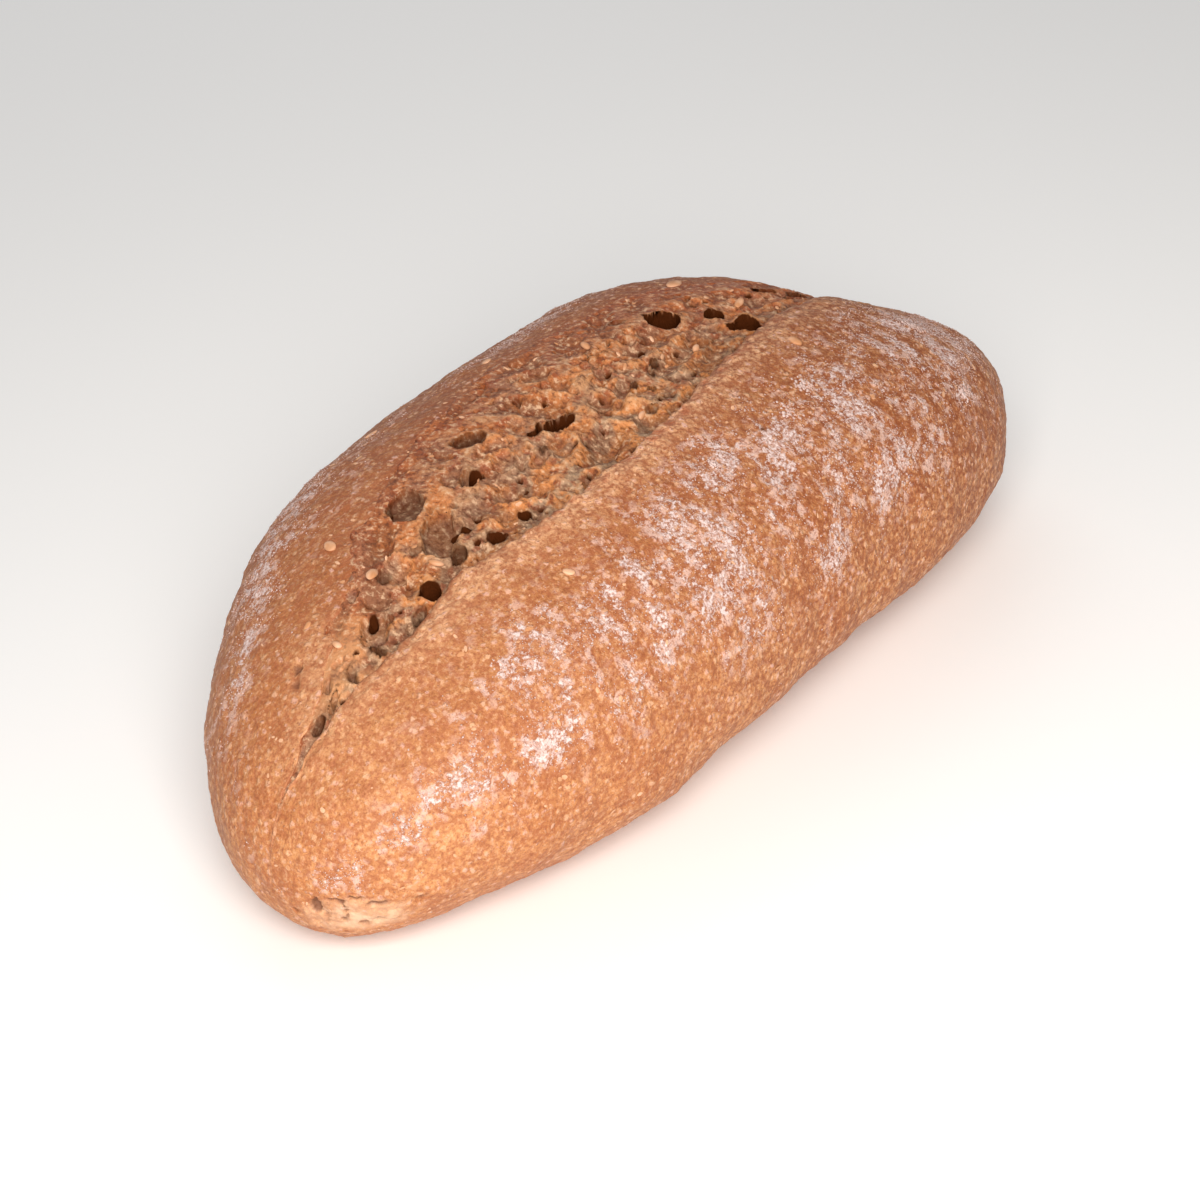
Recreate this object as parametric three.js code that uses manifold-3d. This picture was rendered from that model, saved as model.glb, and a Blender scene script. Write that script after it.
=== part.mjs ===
// A long wholemeal bread roll, slashed once along its top before baking.
//
// Millimetres, +Z up. +X runs along the roll, -Y is the side that was slashed under,
// and the origin is the middle of the flat base. The roll is one solid: a smooth loaf
// whose crown is torn open along the slash, with the coarse crumb showing in the tear.

import * as THREE from 'three';
import { ImprovedNoise } from 'three/addons/math/ImprovedNoise.js';
import * as BufferGeometryUtils from 'three/addons/utils/BufferGeometryUtils.js';
import Module from 'manifold-3d';

const wasm = await Module();
wasm.setup();
const noise = new ImprovedNoise();

// ---------------------------------------------------------------- the loaf's sizes

const LENGTH = 150;
const WIDTH = 76.6;
const HEIGHT = 44;
const HALF = LENGTH / 2;
const FATTEST_AT = 11; // where along X the loaf is widest and tallest
const BELLY_LEVEL = 15.3; // height of the widest line above the base
const BELLY_TO_KEEL = 19; // how far the round underside would reach below that line
const BELLY_DROP = { near: 3.2, far: 0.6 }; // how much lower the belly sits at each end
const BOW = 6.5; // sideways bend of the middle towards +Y
const CENTRING = 6.25; // puts the middle of the bent loaf on Y = 0

// How blunt each outline is: 2 is an ellipse, more is squarer. Near is -X, far is +X.
const PLAN_BLUNTNESS = { near: 2.4, far: 2.9 };
const CROWN_BLUNTNESS = { near: 2.2, far: 2.25 };
const KEEL_BLUNTNESS = { near: 6, far: 4.8 };
const SECTION_ABOVE = 2.6;
const SECTION_BELOW = 1.95;

// Dents (-) and bulges (+) from shaping by hand: place along X, angle round the
// section in degrees (0 is +Y, 90 is up, 180 is -Y), size and, where it isn't
// MARK_LENGTH, length. The short one is the crust sunk in at the far end of the tear.
const HAND_MARKS = [
  [-72, 250, 1.9],
  [-70, 20, -0.6],
  [-58, 215, -0.8],
  [-58, 45, -0.8],
  [-32, 215, 0.9],
  [-32, 45, 0.8],
  [-8, 215, -0.5],
  [-8, 45, -0.45],
  [14, 45, -0.5],
  [16, 215, -0.9],
  [40, 45, 0.6],
  [59.5, 75, -1.7, 5],
  [62, 215, 0.6],
  [62, 60, -1.6],
  [71, 150, 2],
];
const MARK_LENGTH = 15;
const MARK_ANGLE = 38;
const MARKS_FADE = 2.5; // marks and lumps fade where the end is narrower than 1 in this

const SKIN_LUMP = 0.35; // height of the crust's soft lumps
const SKIN_LUMP_PITCH = 11;
const SKIN_LUMPS_ROUND = 2.4; // radius of their circle in the noise, so that they close up

// ---------------------------------------------------------------- the tear's sizes

// The two edges of torn crust, as seen from above: [x, y].
const SLASH_LIP = [
  [-71, -6],
  [-64, -7.7],
  [-56, -8.7],
  [-48, -10.3],
  [-38, -9.9],
  [-26, -12.3],
  [-12, -13.7],
  [4, -13.2],
  [20, -11.4],
  [34, -10.1],
  [48, -9.1],
  [63, -5.3],
];
const TORN_LIP = [
  [-71, -6],
  [-63, -5.1],
  [-57, -2.1],
  [-50, 0.5],
  [-38, 6.7],
  [-25, 11.7],
  [-13, 14.9],
  [4, 16.7],
  [20, 15.5],
  [32, 13.7],
  [44, 8.7],
  [56, 1.2],
  [63, -5.3],
];
const TEAR_START = SLASH_LIP[0][0];
const TEAR_END = SLASH_LIP[SLASH_LIP.length - 1][0];
const TIP_WIDTH = 0.8;
const TIP_TAPER = 0.6; // below 1 the tear opens quickly from its tips
const LIP_WOBBLE = { slashed: 0.35, torn: 1.05 };
const LIP_WOBBLE_PITCH = 6;

const EAR_RISE = 1; // the slashed lip curls up
const EAR_WIDTH = 5;
const EAR_DEPTH = 4; // the crumb lies this far below that lip
const EAR_SLOPE = 1.4; // above 1 the crumb climbs quickly from under the lip
const EAR_UNDERCUT = 1.6; // and runs this far in under it
const LIP_SHARE = 0.3; // share of the lip's height that is upright crust, above the undercut
const FAR_STEP = 0.3; // the crumb's drop at the torn lip
const LEAST_DROP = 0.15; // nowhere does the crumb reach up to where the crust was
const CREST_RISE = 0.8; // the crumb swells up before it reaches the torn lip
const CREST_AT = 0.78; // as a share of the way across
const CREST_SPREAD = 0.18;
const CRAG = { height: 1.3, pitch: 8, narrowing: 1.4, crest: 0.5, fall: 2.5 }; // torn ridges
const CRUMB_LUMP = { height: 0.5, pitch: 3 };
const NOISE_ROW = { slashed: 3.5, torn: 9.5, crag: 7.5, lump: 2.5 }; // keeps the patterns apart

// Gas pores opened by the tear: [x, y, half length, half width, depth, turn in degrees].
const PORES = [
  [-62.8, -6.1, 1.4, 0.8, 1.6, 10],
  [-49.3, -4.3, 2.6, 1.9, 1.4, 40],
  [-47.6, -4.9, 1.1, 0.8, 2.8, 40],
  [-47, 1.6, 1.2, 0.9, 1.4, 0],
  [-41, -6.9, 1.9, 1.5, 2.6, 60],
  [-40.8, -0.8, 2.3, 1.7, 1.3, 30],
  [-33.9, -5.9, 1.4, 1.1, 2, 10],
  [-32.6, -1.8, 4, 2.7, 1.9, 35],
  [-30.9, 5.5, 3.3, 2.3, 2, 40],
  [-29, -7.6, 1.3, 0.9, 3, -30],
  [-23.7, -8.1, 1.1, 0.9, 3, 30],
  [-22.1, 1.3, 1.8, 1.4, 3.2, 35],
  [-16.3, 0.8, 2.4, 1.7, 1, 30],
  [-15.5, 7.1, 2.6, 1.5, 1.8, -35],
  [-13, -2.8, 2, 1.5, 1.1, 20],
  [-5.9, 0.2, 3.8, 1.2, 2.6, -15],
  [2.4, 9.5, 2.6, 1.8, 1.2, -20],
  [5.5, -8.1, 1, 0.8, 2, 0],
  [9.2, -2.3, 0.9, 0.7, 2, 40],
  [13.6, -2.2, 1.9, 0.7, 2.2, 50],
  [26, 4.6, 2.6, 2, 2.8, -30],
  [32.4, -0.6, 1.8, 1.4, 2.6, 10],
  [32.8, -4.4, 1.9, 1.5, 2.6, -20],
  [46.4, 1.1, 2.2, 1.2, 1.6, -30],
];

// Where the foot of the near end burst in the oven: a low split that follows the end round.
const FOOT_BURSTS = [
  { at: [-73, -14.6, 11], half: [3.6, 1.9, 1.3], turn: -52 },
  { at: [-69.6, -19.6, 12], half: [4.2, 1.9, 1.1], turn: -46 },
];

// Grains baked into the skin and into the crumb, and clots of dusting flour:
// [x, y, turn in degrees].
const GRAIN = { half: [1.45, 0.75, 0.6], sink: 0.15 };
const CRUST_GRAINS = [
  [-41, 10.1, 40],
  [-38, -28, -20],
  [39.9, 12.9, 0],
];
const CRUMB_GRAINS = [
  [-43.1, 1, 20],
  [-36.9, -4.4, -50],
  [3.5, -7.6, 30],
  [38.9, 0, -40],
];
const CLOT = { half: [1.9, 1.5, 0.7], sink: 0.1 };
const FLOUR_CLOTS = [
  [-0.9, -23.5, 10],
  [15.5, -24.3, -30],
  [22.1, -21.8, 40],
];

// ---------------------------------------------------------------- how finely each face is cut

const LOAF_ROUND = 60;
const LOAF_ALONG = 44;
const CRUMB_STEP = 1.35;
const SHORTEST_EDGE = 0.03;
const EGG_ROUND = 8;
const EGG_BANDS = 4;
const ABOVE_THE_LOAF = HEIGHT + 12;

const { degToRad } = THREE.MathUtils;

/** The power of a sine or cosine that keeps its sign. */
function signedPower(value, power) {
  return Math.sign(value) * Math.abs(value) ** power;
}

/** A smooth curve y(x) through a list of [x, y]. */
function curveThrough(points) {
  const xs = points.map(([x]) => x);
  const ys = points.map(([, y]) => y);
  const spline = new THREE.CubicInterpolant(xs, ys, 1);
  return (x) => spline.evaluate(x)[0];
}

const slashLip = curveThrough(SLASH_LIP);
const tornLip = curveThrough(TORN_LIP);

/** How open the tear is at x: 0 at its two tips, 1 in the middle. */
function openness(x) {
  const share = THREE.MathUtils.clamp((x - TEAR_START) / (TEAR_END - TEAR_START), 0, 1);
  return Math.sin(Math.PI * share) ** TIP_TAPER;
}

/** How full an outline is at x: 1 where the loaf is fattest, 0 at its ends. */
function fullness(x, bluntness) {
  const near = x < FATTEST_AT;
  const reach = near ? FATTEST_AT + HALF : HALF - FATTEST_AT;
  const share = Math.min(1, Math.abs(x - FATTEST_AT) / reach);
  return Math.sqrt(1 - share ** (near ? bluntness.near : bluntness.far));
}

/** What fixes the section at x: its middle, half width, belly level, rise above it and keel below. */
function sectionAt(x) {
  const share = x / HALF;
  const drop = (x < 0 ? BELLY_DROP.near : BELLY_DROP.far) * share ** 4;
  const belly = BELLY_LEVEL - drop;
  return {
    middle: BOW * (1 - share ** 2) - CENTRING,
    halfWidth: (WIDTH / 2) * fullness(x, PLAN_BLUNTNESS),
    belly,
    rise: (HEIGHT - belly) * fullness(x, CROWN_BLUNTNESS),
    keel: (BELLY_TO_KEEL - drop) * fullness(x, KEEL_BLUNTNESS),
  };
}

/** Dents, bulges and soft lumps at x and at an angle round the section. */
function handShaping(x, angle) {
  let swell = 0;
  for (const [markX, markAngle, size, length = MARK_LENGTH] of HAND_MARKS) {
    const turned = angle - degToRad(markAngle);
    const shortest = Math.atan2(Math.sin(turned), Math.cos(turned));
    const along = (x - markX) / length;
    const round = shortest / degToRad(MARK_ANGLE);
    swell += size * Math.exp(-(along ** 2) - round ** 2);
  }
  const lumpY = SKIN_LUMPS_ROUND * Math.cos(angle);
  const lumpZ = SKIN_LUMPS_ROUND * Math.sin(angle);
  swell += SKIN_LUMP * noise.noise(x / SKIN_LUMP_PITCH, lumpY, lumpZ);
  return swell * Math.min(1, MARKS_FADE * fullness(x, PLAN_BLUNTNESS));
}

/** A point of the closed loaf, before it is torn: a squared ellipse, shaped by hand. */
function crustPoint(x, angle) {
  const { middle, halfWidth, belly, rise, keel } = sectionAt(x);
  const above = Math.sin(angle) >= 0;
  const power = 2 / (above ? SECTION_ABOVE : SECTION_BELOW);
  const swell = handShaping(x, angle);
  const y = middle + halfWidth * signedPower(Math.cos(angle), power) + swell * Math.cos(angle);
  const z = belly + (above ? rise : keel) * signedPower(Math.sin(angle), power) + swell * Math.sin(angle);
  const ear = above ? EAR_RISE * openness(x) * Math.exp(-(((y - slashLip(x)) / EAR_WIDTH) ** 2)) : 0;
  return new THREE.Vector3(x, y, z + ear);
}

/** Height of the closed crust above a place (x, y) near the crown. */
function crownHeight(x, y) {
  const { middle, halfWidth } = sectionAt(x);
  const share = THREE.MathUtils.clamp((y - middle) / halfWidth, -1, 1);
  return crustPoint(x, Math.acos(signedPower(share, SECTION_ABOVE / 2))).z;
}

/** The lips at x, with the ragged edge that tearing leaves. */
function lipsAt(x) {
  const raggedAt = (row) => openness(x) * noise.noise(x / LIP_WOBBLE_PITCH, row, 0.5);
  const near = slashLip(x) + LIP_WOBBLE.slashed * raggedAt(NOISE_ROW.slashed);
  const far = tornLip(x) + LIP_WOBBLE.torn * raggedAt(NOISE_ROW.torn);
  const middle = (near + far) / 2;
  const half = Math.max(TIP_WIDTH, far - near) / 2;
  return [middle - half, middle + half];
}

/** How deep the opened pores reach below the crumb at (x, y): each is a round-bottomed pit. */
function poreDepth(x, y) {
  let deepest = 0;
  for (const [poreX, poreY, long, wide, deep, turn] of PORES) {
    const along = (x - poreX) * Math.cos(degToRad(turn)) + (y - poreY) * Math.sin(degToRad(turn));
    const across = (y - poreY) * Math.cos(degToRad(turn)) - (x - poreX) * Math.sin(degToRad(turn));
    const reach = (along / long) ** 2 + (across / wide) ** 2;
    deepest = Math.max(deepest, reach < 1 ? deep * Math.sqrt(1 - reach) : 0);
  }
  return deepest;
}

/** Height of the torn crumb at x, at a share of the way from the slashed to the torn lip. */
function crumbHeight(x, y, share) {
  const open = openness(x);
  const slope = EAR_DEPTH * open * (1 - share) ** EAR_SLOPE;
  const crest = CREST_RISE * open * Math.exp(-(((share - CREST_AT) / CREST_SPREAD) ** 2));
  const torn = noise.noise(x / CRAG.pitch, (CRAG.narrowing * y) / CRAG.pitch, NOISE_ROW.crag);
  const ridge = CRAG.crest - CRAG.fall * Math.abs(torn);
  const lump = noise.noise(x / CRUMB_LUMP.pitch, y / CRUMB_LUMP.pitch, NOISE_ROW.lump);
  const inside = Math.sqrt(Math.sin(Math.PI * share));
  const relief = open * (CRAG.height * ridge * inside + CRUMB_LUMP.height * lump);
  const drop = FAR_STEP + slope - crest - relief + poreDepth(x, y);
  return crownHeight(x, y) - Math.max(LEAST_DROP, drop);
}

/** Height of the crumb at a place (x, y) inside the tear. */
function crumbLevel(x, y) {
  const [near, far] = lipsAt(x);
  return crumbHeight(x, y, THREE.MathUtils.clamp((y - near) / (far - near), 0, 1));
}

/** Turns a geometry into a solid: only places are kept, and shared corners are merged. */
function toSolid(geometry) {
  geometry.deleteAttribute('normal');
  geometry.deleteAttribute('uv');
  const merged = BufferGeometryUtils.mergeVertices(geometry, 1e-4);
  const mesh = new wasm.Mesh({
    numProp: 3,
    vertProperties: new Float32Array(merged.attributes.position.array),
    triVerts: new Uint32Array(merged.index.array),
  });
  return new wasm.Manifold(mesh);
}

/** Rounds away the last digits, so that corners that meet at a seam come out alike. */
function snapped(value) {
  return Math.round(value * 1e6) / 1e6 + 0;
}

/** The loaf: a sphere with its poles on X, each vertex moved to its place on the crust. */
function loafSolid() {
  const geometry = new THREE.SphereGeometry(1, LOAF_ROUND, LOAF_ALONG).rotateZ(-Math.PI / 2);
  const position = geometry.attributes.position;
  const unit = new THREE.Vector3();
  for (let i = 0; i < position.count; i += 1) {
    unit.fromBufferAttribute(position, i);
    const angle = Math.atan2(snapped(unit.z), snapped(unit.y));
    const point = crustPoint(HALF * snapped(unit.x), angle);
    position.setXYZ(i, point.x, point.y, point.z);
  }
  return toSolid(geometry).trimByPlane([0, 0, 1], 0);
}

/** One section of the tear at x: down the slashed lip, over the crumb, up the torn lip. */
function tearSection(x) {
  const [near, far] = lipsAt(x);
  const undercut = EAR_UNDERCUT * openness(x);
  const strips = Math.max(2, Math.round((far - near) / CRUMB_STEP));
  const underLip = crumbHeight(x, near - undercut, 0);
  const lipBottom = THREE.MathUtils.lerp(crownHeight(x, near), underLip, LIP_SHARE);
  const section = [[x, near, ABOVE_THE_LOAF], [x, near, lipBottom]];
  for (let strip = 0; strip <= strips; strip += 1) {
    const share = strip / strips;
    const y = THREE.MathUtils.lerp(near - undercut, far, share);
    section.push([x, y, crumbHeight(x, y, share)]);
  }
  section.push([x, far, ABOVE_THE_LOAF]);
  return section;
}

/** Triangles between two rows of corners that may differ in number, both read from the same side. */
function stitch(firstRow, secondRow) {
  const faces = [];
  let i = 0;
  let j = 0;
  while (i < firstRow.length - 1 || j < secondRow.length - 1) {
    const firstShare = (i + 1) / firstRow.length;
    const secondShare = (j + 1) / secondRow.length;
    const stepFirst = j === secondRow.length - 1 || (i < firstRow.length - 1 && firstShare <= secondShare);
    if (stepFirst) {
      faces.push(firstRow[i], firstRow[i + 1], secondRow[j]);
      i += 1;
    } else {
      faces.push(firstRow[i], secondRow[j + 1], secondRow[j]);
      j += 1;
    }
  }
  return faces;
}

/** What the tear took away: sections across it, whose lower edge is the torn crumb. */
function tearSolid() {
  const vertices = [];
  const faces = [];
  const rows = [];
  const stations = Math.round((TEAR_END - TEAR_START) / CRUMB_STEP);
  for (let station = 0; station <= stations; station += 1) {
    const section = tearSection(THREE.MathUtils.lerp(TEAR_START, TEAR_END, station / stations));
    const first = vertices.length / 3;
    rows.push(section.map((corner, i) => first + i));
    vertices.push(...section.flat());
  }
  for (let station = 0; station < stations; station += 1) {
    const row = rows[station];
    const next = rows[station + 1];
    faces.push(...stitch(row, next));
    faces.push(row.at(-1), next[0], next.at(-1));
    faces.push(row.at(-1), row[0], next[0]);
  }
  const start = rows[0];
  const end = rows.at(-1);
  for (let i = 1; i < start.length - 1; i += 1) {
    faces.push(start[0], start[i + 1], start[i]);
  }
  for (let i = 1; i < end.length - 1; i += 1) {
    faces.push(end[0], end[i], end[i + 1]);
  }
  const geometry = new THREE.BufferGeometry();
  geometry.setAttribute('position', new THREE.BufferAttribute(new Float32Array(vertices), 3));
  geometry.setIndex(faces);
  return toSolid(geometry);
}

/** An egg-shaped solid with the given half sizes, turned about Z, at a place. */
function eggSolid([halfX, halfY, halfZ], turn, [x, y, z]) {
  const geometry = new THREE.SphereGeometry(1, EGG_ROUND, EGG_BANDS);
  geometry.scale(halfX, halfY, halfZ);
  geometry.rotateZ(degToRad(turn));
  geometry.translate(x, y, z);
  return toSolid(geometry);
}

function footBurstSolids() {
  return FOOT_BURSTS.map(({ at, half, turn }) => eggSolid(half, turn, at));
}

/** Grains and clots stand a little proud of what they are baked into. */
function specks(places, speck, levelAt) {
  return places.map(([x, y, turn]) => (
    eggSolid(speck.half, turn, [x, y, levelAt(x, y) - speck.sink])
  ));
}

/** The largest piece of a solid: slivers and loose scraps that the cuts leave are dropped. */
function largestPiece(solid) {
  const pieces = solid.simplify(SHORTEST_EDGE).decompose();
  pieces.sort((a, b) => b.volume() - a.volume());
  return pieces[0];
}

function rollGeometry() {
  const cuts = wasm.Manifold.union([tearSolid(), ...footBurstSolids()]);
  const additions = wasm.Manifold.union([
    ...specks(CRUST_GRAINS, GRAIN, crownHeight),
    ...specks(CRUMB_GRAINS, GRAIN, crumbLevel),
    ...specks(FLOUR_CLOTS, CLOT, crownHeight),
  ]);
  const roll = largestPiece(loafSolid().subtract(cuts).add(additions));
  const { vertProperties, triVerts } = roll.getMesh();
  const geometry = new THREE.BufferGeometry();
  geometry.setAttribute('position', new THREE.BufferAttribute(new Float32Array(vertProperties), 3));
  geometry.setIndex(Array.from(triVerts));
  geometry.computeVertexNormals();
  return geometry;
}

const bakedCrust = new THREE.MeshStandardMaterial({ color: 0xb97a48, roughness: 0.82, metalness: 0 });

const roll = new THREE.Mesh(rollGeometry(), bakedCrust);
roll.name = 'roll';

const wholemealRoll = new THREE.Group();
wholemealRoll.add(roll);

export default wholemealRoll;
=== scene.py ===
# %% [markdown]
# # A long wholemeal roll, torn open along its slash
#
# The real thing is one piece of bread: a browned, flour-dusted crust, and a wide tear
# where the baker's one cut burst open in the oven and shows the coarse crumb. The solid
# from CAD fixes its size and place. This script dresses it: a finer crust and a finer
# crumb are worked out from the same formula, and the grains, bran and flour that lie on
# them are added as small meshes. Everything is worked out in millimetres and turned into
# metres when a mesh is made.

import bpy
import numpy as np
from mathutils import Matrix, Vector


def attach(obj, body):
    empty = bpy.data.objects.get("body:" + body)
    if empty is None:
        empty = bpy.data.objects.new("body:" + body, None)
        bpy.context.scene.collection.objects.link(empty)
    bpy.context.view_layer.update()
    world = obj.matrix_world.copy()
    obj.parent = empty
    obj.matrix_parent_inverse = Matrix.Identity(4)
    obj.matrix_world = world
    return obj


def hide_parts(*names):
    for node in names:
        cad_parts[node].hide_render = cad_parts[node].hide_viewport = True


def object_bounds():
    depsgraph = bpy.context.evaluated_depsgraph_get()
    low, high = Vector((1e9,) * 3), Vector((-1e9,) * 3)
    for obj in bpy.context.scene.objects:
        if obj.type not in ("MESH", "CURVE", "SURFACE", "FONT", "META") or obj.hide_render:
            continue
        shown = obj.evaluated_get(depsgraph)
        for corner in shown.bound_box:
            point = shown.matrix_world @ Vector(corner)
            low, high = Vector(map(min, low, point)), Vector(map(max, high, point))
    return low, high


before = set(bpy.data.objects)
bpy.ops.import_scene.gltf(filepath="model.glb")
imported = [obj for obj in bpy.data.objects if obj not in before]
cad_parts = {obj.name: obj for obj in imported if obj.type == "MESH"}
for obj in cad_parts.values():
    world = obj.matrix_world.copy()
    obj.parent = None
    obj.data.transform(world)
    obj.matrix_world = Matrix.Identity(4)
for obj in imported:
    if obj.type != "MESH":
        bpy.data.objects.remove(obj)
cad_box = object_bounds()
MM = 0.001
BOX_LOW, BOX_HIGH = (np.array(corner) / MM for corner in cad_box)
print("CAD box in mm:", [[round(c / MM, 2) for c in corner] for corner in cad_box])

# %% [markdown]
# ## The loaf's formula
#
# A loaf could be sculpted, or subdivided from a rough cage. Here its skin is a formula of
# two parameters: x along the roll and an angle round its section. The section is a
# squared ellipse whose width, height and belly level follow x, with dents and bulges
# left by the baker's hands. That keeps it true to the solid, and any place on it can be
# worked out again later, to lay a grain there.

# %% The loaf's sizes, in millimetres
LENGTH, WIDTH, HEIGHT = 150.0, 76.6, 44.0
HALF = LENGTH / 2
FATTEST_AT = 11.0        # where along X the loaf is widest and tallest
BELLY_LEVEL = 15.3       # height of the widest line
BELLY_TO_KEEL = 19.0     # how far the round underside would reach below that line
BELLY_DROP = (3.2, 0.6)  # how much lower the belly sits at the -X end and the +X end
BOW, CENTRING = 6.5, 6.25
PLAN_BLUNTNESS = (2.4, 2.9)
CROWN_BLUNTNESS = (2.2, 2.25)
KEEL_BLUNTNESS = (6.0, 4.8)
SECTION_ABOVE, SECTION_BELOW = 2.6, 1.95
FOOT_ROUNDING = 0.45     # how softly the side turns into the flat base

# Dents (-) and bulges (+): place along X, angle in degrees, size, length.
HAND_MARKS = [
    (-72, 250, 1.9, 15), (-70, 20, -0.6, 15), (-58, 215, -0.8, 15), (-58, 45, -0.8, 15),
    (-32, 215, 0.9, 15), (-32, 45, 0.8, 15), (-8, 215, -0.5, 15), (-8, 45, -0.45, 15),
    (14, 45, -0.5, 15), (16, 215, -0.9, 15), (40, 45, 0.6, 15), (59.5, 75, -1.7, 5),
    (62, 215, 0.6, 15), (62, 60, -1.6, 15), (71, 150, 2.0, 15),
]
MARK_ANGLE = 38.0


# %% Noise on arrays of points
def stirred(i, j, k, seed):
    """One repeatable 32-bit number for each lattice corner: its coordinates, multiplied and mixed."""
    mask = 0xFFFFFFFF
    mixed = (i * 374761393 + j * 668265263 + k * 1103515245 + seed * 974634777) & mask
    mixed = ((mixed ^ (mixed >> 13)) * 1274126177) & mask
    return mixed ^ (mixed >> 16)


def share_of(number, digit):
    """Three independent shares, 0 to 1, can be read from one stirred number: ten bits each."""
    return ((number >> (10 * digit)) & 1023) / 1023.0


def lumps(points, pitch, seed=0):
    """Gradient noise, about -1 to 1: random slopes at lattice corners, blended by 6t^5 - 15t^4 + 10t^3."""
    at = np.asarray(points, float) / pitch
    corner = np.floor(at).astype(np.int64)
    inside = at - corner
    fade = inside ** 3 * (inside * (inside * 6 - 15) + 10)
    total = np.zeros(at.shape[:-1])
    for step in np.ndindex(2, 2, 2):
        number = stirred(*(corner[..., axis] + step[axis] for axis in range(3)), seed)
        slope = sum((2 * share_of(number, axis) - 1) * (inside[..., axis] - step[axis]) for axis in range(3))
        weight = np.prod([fade[..., a] if step[a] else 1 - fade[..., a] for a in range(3)], axis=0)
        total += weight * slope
    return 1.6 * total


def rough(points, pitch, octaves, seed=0):
    """Fractal noise: lumps of half the pitch and half the height added again and again."""
    return sum(lumps(points, pitch / 2 ** o, seed + 17 * o) / 2 ** o for o in range(octaves))


def pebbles(points, pitch, seed=0):
    """Cell noise: the distance, in pitches, to the nearest of one random point per lattice cube."""
    at = np.asarray(points, float) / pitch
    corner = np.floor(at).astype(np.int64)
    nearest = np.full(at.shape[:-1], 9.0)
    for step in np.ndindex(3, 3, 3):
        cube = [corner[..., axis] + step[axis] - 1 for axis in range(3)]
        number = stirred(*cube, seed)
        gap = sum((cube[axis] + share_of(number, axis) - at[..., axis]) ** 2 for axis in range(3))
        nearest = np.minimum(nearest, gap)
    return np.sqrt(nearest)


def ramp(value, begins, full):
    """0 up to where it begins, 1 from where it is full, and a straight line between them."""
    return np.clip((value - begins) / (full - begins), 0, 1)


def bell(gap):
    """A bell curve: 1 at a gap of 0, a third at a gap of 1, and next to nothing at a gap of 2."""
    return np.exp(-gap ** 2)


def on_the_flat(x, y):
    """Points at (x, y) and no height, for noise that is spread over the tear."""
    return np.stack([x, y, np.zeros_like(x)], -1)


sample = np.random.default_rng(1).uniform(-20, 20, (4000, 3))
print("noise spread:", round(float(lumps(sample, 3.0).std()), 3))


# %% The skin of the closed loaf
def signed_power(value, power):
    """The power of a sine or cosine that keeps its sign."""
    return np.sign(value) * np.abs(value) ** power


def fullness(x, bluntness):
    """How full an outline is at x: the root of 1 - share^bluntness, with share 0 where it is fattest."""
    near = x < FATTEST_AT
    share = np.abs(x - FATTEST_AT) / np.where(near, FATTEST_AT + HALF, HALF - FATTEST_AT)
    return np.sqrt(1 - np.minimum(1, share) ** np.where(near, *bluntness))


def section_at(x):
    """Middle, half width, belly level, rise above it and keel below it, of the section at x."""
    drop = np.where(x < 0, *BELLY_DROP) * (x / HALF) ** 4
    belly = BELLY_LEVEL - drop
    middle = BOW * (1 - (x / HALF) ** 2) - CENTRING
    half_width = WIDTH / 2 * fullness(x, PLAN_BLUNTNESS)
    rise = (HEIGHT - belly) * fullness(x, CROWN_BLUNTNESS)
    keel = (BELLY_TO_KEEL - drop) * fullness(x, KEEL_BLUNTNESS)
    return middle, half_width, belly, rise, keel


def hand_shaping(x, angle):
    """Dents and bulges: bell curves in x and in the angle, and soft lumps; they fade at the narrow ends."""
    swell = 0.35 * lumps(np.stack([x, 26 * np.cos(angle), 26 * np.sin(angle)], -1), 11.0, 3)
    for mark_x, mark_angle, size, length in HAND_MARKS:
        turned = angle - np.radians(mark_angle)
        round_it = np.arctan2(np.sin(turned), np.cos(turned)) / np.radians(MARK_ANGLE)
        swell = swell + size * np.exp(-((x - mark_x) / length) ** 2 - round_it ** 2)
    return swell * np.minimum(1, 2.5 * fullness(x, PLAN_BLUNTNESS))


def skin_point(x, angle):
    """A point of the closed loaf: y = middle + width cos^p, z = belly + rise sin^p, and the swelling."""
    x, angle = np.broadcast_arrays(np.asarray(x, float), np.asarray(angle, float))
    middle, half_width, belly, rise, keel = section_at(x)
    above = np.sin(angle) >= 0
    power = 2 / np.where(above, SECTION_ABOVE, SECTION_BELOW)
    swell = hand_shaping(x, angle)
    y = middle + half_width * signed_power(np.cos(angle), power) + swell * np.cos(angle)
    z = belly + np.where(above, rise, keel) * signed_power(np.sin(angle), power) + swell * np.sin(angle)
    z = FOOT_ROUNDING * np.logaddexp(0, z / FOOT_ROUNDING)
    ear = np.where(above, EAR_RISE * openness(x) * bell((y - lip(SLASH_LIP, x)) / EAR_WIDTH), 0)
    return np.stack([x, y, z + ear], -1)


def angle_above(x, y):
    """The angle at which the crown is at y: the squared ellipse solved for its cosine."""
    middle, half_width, *_ = section_at(x)
    share = np.clip((y - middle) / np.maximum(half_width, 1e-6), -1, 1)
    return np.arccos(signed_power(share, SECTION_ABOVE / 2))


def crown_height(x, y):
    """Height of the closed crust above (x, y)."""
    return skin_point(x, angle_above(x, y))[..., 2]


# %% [markdown]
# ## The tear
#
# The baker cut once, a little to the near side of the crown and under the skin. In the
# oven the cut opened: the slashed lip curled up into a low ear, and the crumb was pulled
# out from under it and climbs to the ragged torn lip on the other side. Both lips are
# smooth curves through a dozen places, and everything in the tear is worked out between
# them.

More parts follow.
